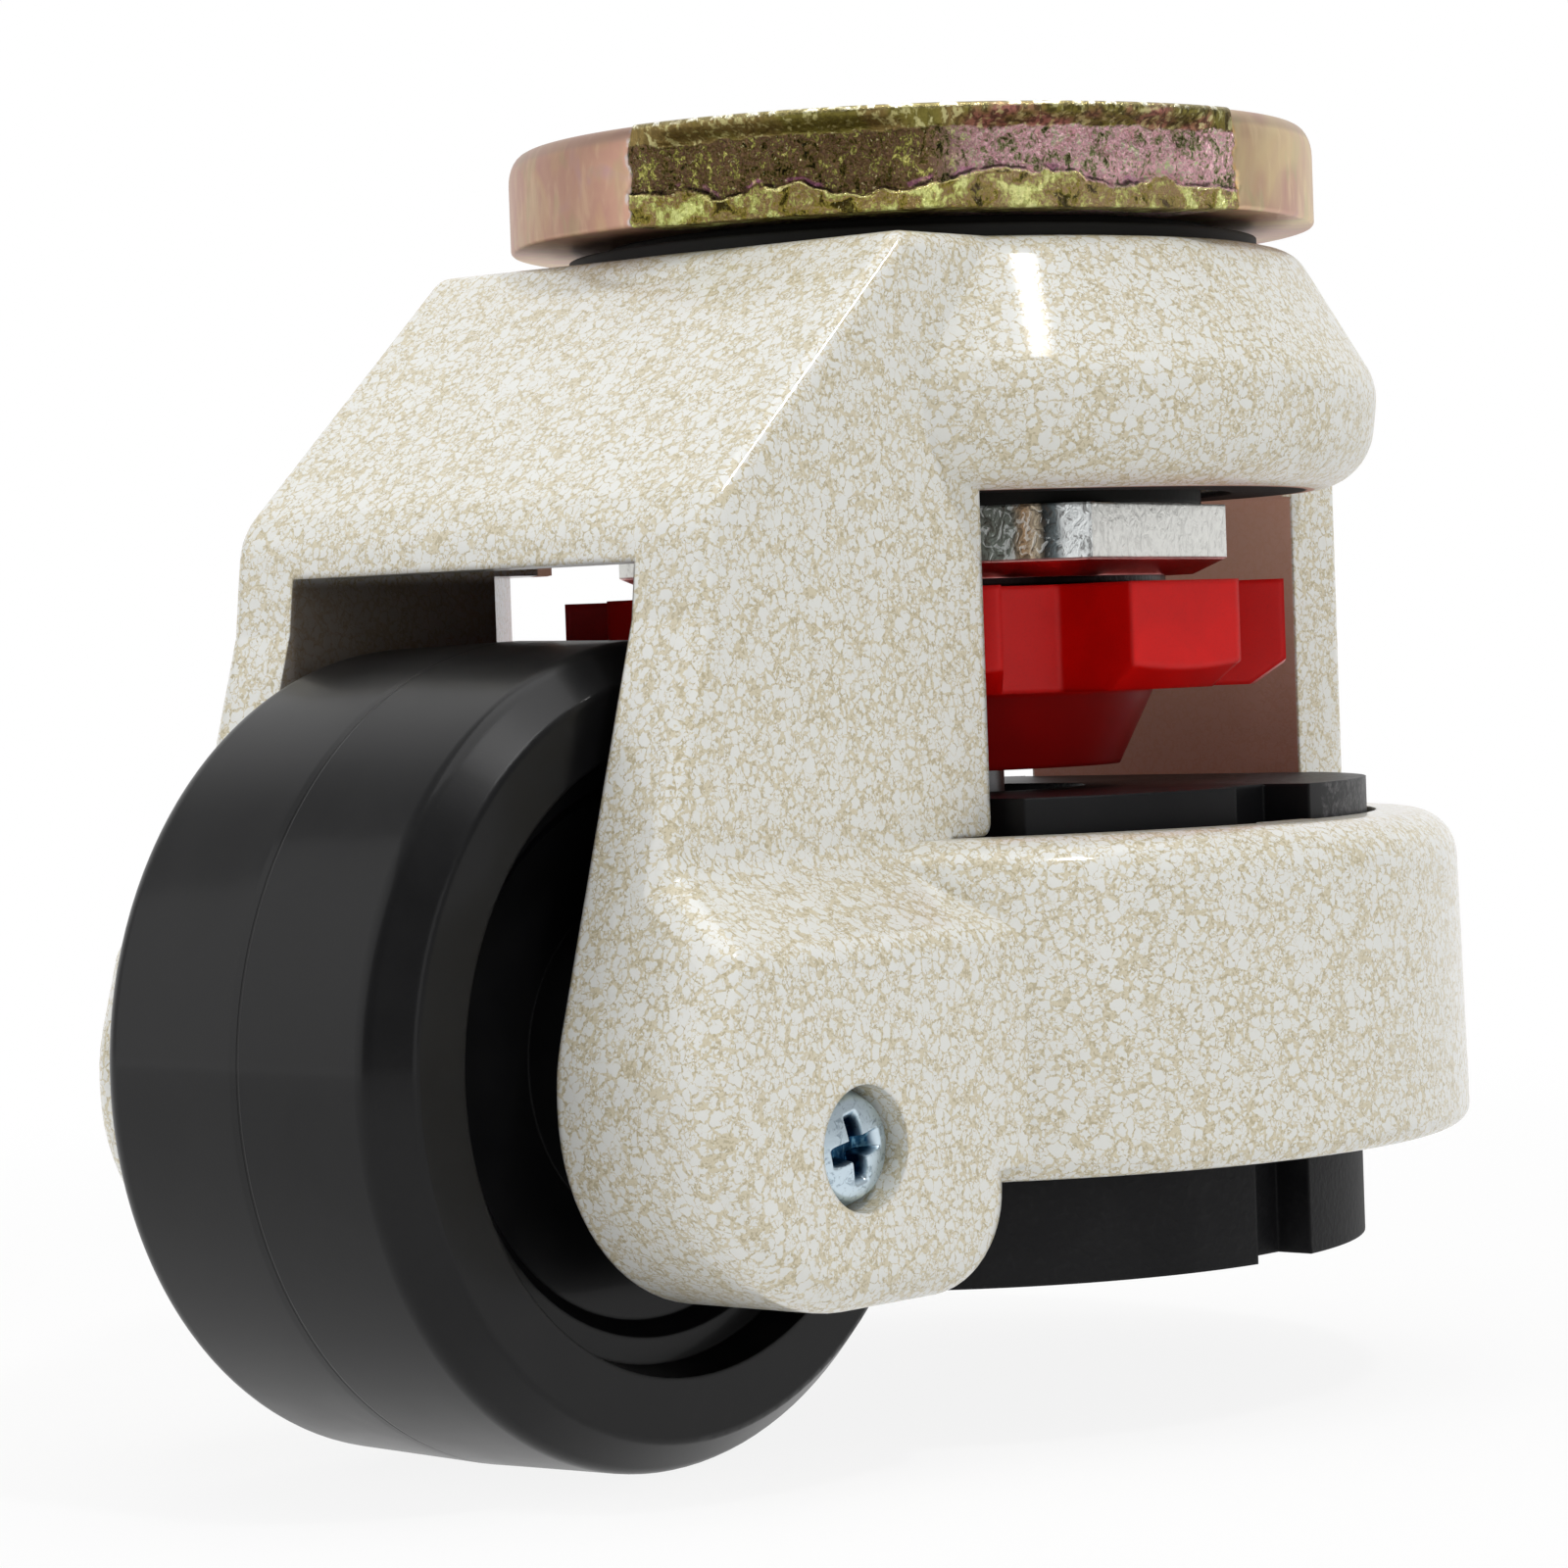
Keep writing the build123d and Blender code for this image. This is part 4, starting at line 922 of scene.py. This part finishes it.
@dataclass
class MountFlange:
    """The turned disc on top, with four flats sheared off its rim. Sizes are in millimetres."""

    radius: float = 26.5
    bore: float = 10.0
    thickness: float = 6.4
    turned_in: float = 1.1
    turned_down: float = 1.9
    rim_round: float = 0.42
    top_middle: float = 17.0
    top_edge: float = 25.3
    foot_round: float = 0.25
    normals: tuple[float, ...] = (-161.5, -113.5, 18.5, 66.5)
    spans: tuple[tuple[float, float], ...] = ((-181.2, -90.3), (-1.2, 89.7))
    flat_distance: float = 24.35
    least_radius: float = 25.3
    burnished: float = 1.45
    torn_level: float = 4.7
    run_in: float = 0.14
    fray: float = 0.05
    columns: int = 1300
    side_rows: int = 56

    def outline(self, turn: np.ndarray) -> tuple[np.ndarray, np.ndarray, np.ndarray]:
        """Radius under the rim, where the disc is sheared, and where the second flat of each pair lies.

        The radius is the lesser of the disc's own and the flat's distance over the cosine of the angle from
        the flat's normal, but not under the least radius.

        Args:
            turn: Angles in radians.

        Returns:
            Radius in millimetres, 0 to 1 for sheared, and 0 to 1 for the second flat of each pair.
        """
        radius = np.full(turn.shape, self.radius)
        for normal in self.normals:
            off = angle_from(turn, math.radians(normal))
            cut = self.flat_distance / np.maximum(np.cos(off), 0.2)
            radius = np.minimum(radius, cut)
        radius = np.maximum(radius, self.least_radius) - 0.15
        sheared = np.zeros(turn.shape)
        ease = np.zeros(turn.shape)
        second = np.zeros(turn.shape)
        for first, last in self.spans:
            middle = math.radians((first + last) / 2.0)
            reach = math.radians((last - first) / 2.0)
            off = angle_from(turn, middle)
            sheared = np.maximum(sheared, smooth(reach - np.abs(off), -0.006, 0.006))
            second = np.maximum(second, smooth(off, -0.05, 0.12) * smooth(np.abs(off), 1.6, 1.2))
            ease = np.maximum(ease, smooth(reach - np.abs(off), 0.0, self.run_in))
        radius = self.radius + (radius - self.radius) * ease
        return radius, sheared, second

    def sheared_at(self, turn: np.ndarray, fray: np.ndarray) -> np.ndarray:
        """1 where the disc is sheared, with a border that frays by noise.

        Args:
            turn: Angles in radians.
            fray: How far the border is shifted at each point, in radians.

        Returns:
            0 to 1 at each point.
        """
        share = 0.0 * fray
        for first, last in self.spans:
            middle = math.radians((first + last) / 2.0)
            reach = math.radians((last - first) / 2.0)
            off = angle_from(turn, middle)
            share = np.maximum(share, smooth(reach - np.abs(off) + fray, -0.02, 0.01))
        return share

    def build(self, finish: bpy.types.Material) -> bpy.types.Object:
        """Carries the section round the axis and tears the sheared flats.

        Each row of the section is a depth under the top face and an inset from the outline. Across the
        sheared flats the wall steps in below the burnished band, is pitted by noise, comes out again in a lip
        along a line that wanders by noise, and ends in a calm foot.

        Args:
            finish: Its material.

        Returns:
            The piece.
        """
        turn = np.linspace(-math.pi, math.pi, self.columns, endpoint=False)
        cut_radius, sheared, second = self.outline(turn)
        arc = np.linspace(0.0, math.pi / 2.0, 9)
        edge_in = self.turned_in * (1.0 - sheared) + self.rim_round * sheared
        edge_down = self.turned_down * (1.0 - sheared) + self.rim_round * sheared
        rim_inset = (1.0 - np.sin(arc)[:, None]) * edge_in
        rim_depth = (1.0 - np.cos(arc)[:, None]) * edge_down
        share = np.linspace(0.0, 1.0, self.side_rows + 1)[1:, None]
        side_depth = edge_down + share * (self.thickness - self.foot_round - edge_down)
        foot = np.linspace(0.0, math.pi / 2.0, 4)[1:, None]
        foot_inset = (1.0 - np.cos(foot)) * self.foot_round + 0.0 * turn
        foot_depth = self.thickness - self.foot_round + np.sin(foot) * self.foot_round + 0.0 * turn
        depth = np.concatenate((rim_depth, side_depth, foot_depth))
        inset = np.concatenate((rim_inset, 0.0 * side_depth, foot_inset))
        round_rim = smooth(depth, self.burnished + 0.1, self.rim_round)
        radius = cut_radius + (self.radius - cut_radius) * round_rim
        around_x = self.radius * np.cos(turn) + 0.0 * depth
        around_y = self.radius * np.sin(turn) + 0.0 * depth
        spots = np.stack((around_x, around_y, depth), axis=-1)
        fray = (lattice_noise(spots, 1.1, 11, 3) - 0.5) * self.fray
        sheared = self.sheared_at(turn, fray)
        wander = lattice_noise(spots * (1.0, 1.0, 0.0), 5.2, 3, 4) - 0.5
        jag = lattice_noise(spots, 0.9, 8, 3) - 0.5
        torn = self.torn_level - wander * 3.2 - jag * 0.8 - depth
        pits = lattice_noise(spots * (1.0, 1.0, 0.8), 0.75, 5, 4)
        ragged = self.burnished + (lattice_noise(spots * (1.0, 1.0, 0.0), 1.3, 4, 2) - 0.5) * 0.9
        below_band = smooth(depth - ragged, 0.0, 0.25)
        above_lip = smooth(torn, 0.02, 0.30)
        scoop = 0.20 + 0.22 * smooth(torn, 1.6, 0.1)
        bite = below_band * (above_lip * (scoop + (pits - 0.5) * 0.66) + (1.0 - above_lip) * (pits * 0.24))
        stria = (lattice_noise(spots * (1.0, 1.0, 0.02), 0.4, 9, 2) - 0.5) * 0.08 + 0.04
        bite = bite + (1.0 - below_band) * stria
        fade = smooth(depth, 0.2, 0.7) * smooth(self.thickness - depth, 0.0, 0.35)
        bite = np.clip(bite, 0.0, 0.8) * sheared * fade
        reach = radius - inset - bite
        closing = (self.bore, self.bore, self.top_middle, self.top_edge)
        closing_radius = np.array(closing)[:, None] + 0.0 * turn
        closing_depth = np.array((self.thickness, 0.0, 0.0, 0.0))[:, None] + 0.0 * turn
        reach = np.concatenate((reach, closing_radius))
        depth = np.concatenate((depth, closing_depth))
        extra = np.zeros_like(closing_radius)
        numbers = {
            "sheared": np.concatenate((sheared, extra)),
            "near_right": np.concatenate((second + 0.0 * torn, extra + 0.5)),
            "torn": np.concatenate((torn, extra + 9.0)),
        }
        points = np.stack((reach * np.cos(turn), reach * np.sin(turn), -depth), axis=-1) * MM
        piece = grid_piece("sheared_flange", points[::-1], True, "mount",
                           {key: values[::-1] for key, values in numbers.items()})
        piece.data.materials.append(finish)
        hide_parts("mount_flange")
        return piece


@dataclass
class NutChamfer:
    """The chamfer under the kingpin nut, a hexagon that narrows downwards. Sizes are in millimetres."""

    half_flats: float = 17.45
    turn: float = -49.0
    top: float = -27.93
    drop: float = 1.0
    narrows: float = 2.3
    collar: float = 16.0
    collar_foot: float = -29.42
    bore: float = 13.4
    columns: int = 360

    def build(self, finish: bpy.types.Material) -> bpy.types.Object:
        """Carries a section round a hexagon, with a round collar below it.

        The hexagon's radius is the half width over flats divided by the cosine of the angle from the middle
        of the nearest flat.

        Args:
            finish: Its material.

        Returns:
            The piece.
        """
        turn = np.linspace(-math.pi, math.pi, self.columns, endpoint=False)
        sixth = math.pi / 3.0
        off = (turn - math.radians(self.turn)) % sixth - sixth / 2.0
        outer = self.half_flats / np.cos(off)
        ring = np.array((self.collar, self.collar, self.bore, self.bore))[:, None] + 0.0 * turn
        radii = np.concatenate((np.stack((outer - 0.03, outer - self.narrows)), ring))
        low = self.top - self.drop
        heights = (self.top, low, low, self.collar_foot, self.collar_foot, self.top)
        levels = np.array(heights)[:, None] + 0.0 * turn
        points = np.stack((radii * np.cos(turn), radii * np.sin(turn), levels), axis=-1) * MM
        piece = grid_piece("nut_chamfer", points[::-1], True, "mount")
        piece.data.materials.append(finish)
        return piece


@dataclass
class KeeperScrew:
    """One keeper screw with a domed head and a cross recess. Sizes are in millimetres."""

    name: str
    node: str
    side: int
    head_radius: float = 3.4
    head_height: float = 1.9
    shank_radius: float = 2.0
    edge: float = 0.85
    proud: float = 0.75
    cross_turn: float = -0.22
    arm: float = 2.25
    arm_half: float = 0.50
    arm_depth: float = 1.5
    columns: int = 180
    rows: int = 60

    def build(self, finish: bpy.types.Material) -> bpy.types.Object:
        """Head as a height over a disc, then its side, underside, shank and end.

        The height is a shallow dome that rolls off at its edge, less a cross whose depth falls smoothly from
        its middle to the ends and walls of its arms.

        Args:
            finish: Its material.

        Returns:
            The piece.
        """
        low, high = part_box(self.node)
        middle_x, middle_z = (low.x + high.x) / 2.0, (low.z + high.z) / 2.0
        outer, inner = (high.y, low.y) if self.side > 0 else (low.y, high.y)
        length = abs(outer - inner) / MM
        turn = np.linspace(0.0, 2.0 * math.pi, self.columns, endpoint=False)
        across = np.linspace(0.0, 1.0, self.rows)[:, None] * self.head_radius
        share = across / self.head_radius
        dome = -0.55 * share**2 - self.edge * smooth(share, 0.80, 1.0) ** 2
        from_middle_x = across * np.cos(turn)
        from_middle_z = across * np.sin(turn)
        x = from_middle_x * math.cos(self.cross_turn) - from_middle_z * math.sin(self.cross_turn)
        z = from_middle_x * math.sin(self.cross_turn) + from_middle_z * math.cos(self.cross_turn)
        wall_out, wall_in = self.arm_half + 0.16, self.arm_half - 0.10
        one = smooth(np.abs(x), wall_out, wall_in) * smooth(np.abs(z), self.arm, self.arm * 0.5)
        two = smooth(np.abs(z), wall_out, wall_in) * smooth(np.abs(x), self.arm, self.arm * 0.5)
        cross = np.maximum(one, two)
        height = self.proud + dome - cross * self.arm_depth
        radii = np.array((self.head_radius, self.shank_radius, self.shank_radius, 0.0))[:, None] + 0.0 * turn
        drops = np.array((self.head_height, self.head_height, length, length))[:, None] + 0.0 * turn
        across = np.concatenate((across + 0.0 * turn, radii))
        height = np.concatenate((height, -drops))
        points = np.stack((
            middle_x + across * np.cos(turn) * MM,
            outer + self.side * height * MM,
            middle_z + across * np.sin(turn) * MM,
        ), axis=-1)
        if self.side < 0:
            points = points[:, ::-1]
        recessed = np.concatenate((cross + 0.0 * turn, 0.0 * radii))
        if self.side < 0:
            recessed = recessed[:, ::-1]
        piece = grid_piece(self.name, points[:, ::-1], False, "swivel_frame",
                           {"recessed": recessed[:, ::-1]})
        piece.data.materials.append(finish)
        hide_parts(self.node)
        return piece


# ---------------------------------------------------------------- dressing


class Wear(Enum):
    """The finish that each CAD node wears."""

    ENAMEL = "enamel"
    YELLOW_ZINC = "yellow_zinc"
    NUT_ZINC = "nut_zinc"
    SCREW_ZINC = "screw_zinc"
    STEEL = "steel"
    BRASS = "brass"
    SEAL = "seal"
    GAP_SHADE = "gap_shade"
    WHEEL = "wheel"
    BUSH = "bush"
    RED = "red"
    PAD = "pad"
    RUBBER = "rubber"


FINISHES: dict[Wear, Any] = {
    Wear.ENAMEL: SpeckledPaint(),
    Wear.YELLOW_ZINC: YellowZinc(),
    Wear.NUT_ZINC: BrightZinc("bright_zinc", depth=0.06 * MM),
    Wear.SCREW_ZINC: BlueZinc(),
    Wear.STEEL: PlainMetal("ground_steel", from_srgb(170, 170, 172)),
    Wear.BRASS: PlainMetal("pressed_brass", from_srgb(186, 150, 84), 0.34),
    # painted shade: the bearing races and cups are near black for the shadow of the gaps they sit in
    Wear.GAP_SHADE: Moulding("steel_painted_gap_shade", (0.004, 0.004, 0.003), (0.008, 0.007, 0.006), 0.6,
                          0.8 * MM, 0.03 * MM, specular=0.12),
    Wear.SEAL: Moulding("seal_rubber", (0.008, 0.008, 0.008), (0.012, 0.012, 0.012), 0.6, specular=0.2),
    Wear.WHEEL: WheelNylon("wheel_nylon", (0.004, 0.004, 0.0045), (0.007, 0.007, 0.0075), 0.33,
                           specular=0.17, gloss=0.12),
    Wear.BUSH: Moulding("bush_plastic", from_srgb(60, 60, 62), from_srgb(70, 70, 72), 0.45),
    Wear.RED: Moulding("red_plastic", from_srgb(220, 10, 6), from_srgb(196, 6, 4), 0.34,
                       specular=0.25, glow=0.16, soft_radius=0.6 * MM, shade=0.5),
    Wear.PAD: Moulding("pad_nylon", (0.004, 0.004, 0.005), (0.008, 0.008, 0.009), 0.46, specular=0.2,
                       dust=0.5),
    Wear.RUBBER: Moulding("pad_rubber", (0.004, 0.004, 0.005), (0.012, 0.012, 0.013), 0.62,
                          0.45 * MM, 0.05 * MM, specular=0.2),
}

WEARS: dict[str, Wear] = {
    "mount_flange": Wear.YELLOW_ZINC, "kingpin": Wear.STEEL, "upper_race": Wear.GAP_SHADE,
    "lower_race": Wear.GAP_SHADE, "kingpin_nut": Wear.NUT_ZINC, "upper_balls": Wear.STEEL,
    "upper_cage": Wear.BRASS, "lower_balls": Wear.STEEL, "lower_cage": Wear.BRASS,
    "frame_casting": Wear.ENAMEL, "upper_cup": Wear.GAP_SHADE, "lower_cup": Wear.GAP_SHADE,
    "dust_seal": Wear.SEAL, "axle": Wear.STEEL, "keeper_screw_near": Wear.SCREW_ZINC,
    "keeper_screw_far": Wear.SCREW_ZINC, "axle_washers": Wear.STEEL, "wheel": Wear.WHEEL,
    "wheel_bushes": Wear.BUSH, "adjuster_wheel": Wear.RED, "adjuster_sleeve": Wear.RED,
    "sleeve_clip": Wear.STEEL, "thrust_washer": Wear.RED, "pad_body": Wear.PAD, "pad_rubber": Wear.RUBBER,
    "levelling_stud": Wear.STEEL, "stud_nut": Wear.NUT_ZINC,
}


def dress_nodes() -> None:
    """Gives each CAD node its finish."""
    made = {wear: finish.build() for wear, finish in FINISHES.items()}
    MountFlange().build(made[Wear.YELLOW_ZINC])
    NutChamfer().build(made[Wear.NUT_ZINC])
    KeeperScrew("keeper_near", "keeper_screw_near", -1).build(made[Wear.SCREW_ZINC])
    KeeperScrew("keeper_far", "keeper_screw_far", 1).build(made[Wear.SCREW_ZINC])
    for name, wear in WEARS.items():
        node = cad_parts[name]
        node.data.materials.clear()
        node.data.materials.append(made[wear])
        LOG.info("dressed %s in %s", name, wear.value)


def main() -> None:
    """Builds the studio and the castor's looks."""
    logging.basicConfig(level=logging.INFO, format="%(name)s: %(message)s")
    bpy.context.scene.view_settings.view_transform = "Standard"
    wheel_low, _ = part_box("wheel")
    Studio().build(wheel_low.z - 0.02 * MM)
    dress_nodes()


if __name__ == "__main__":
    main()
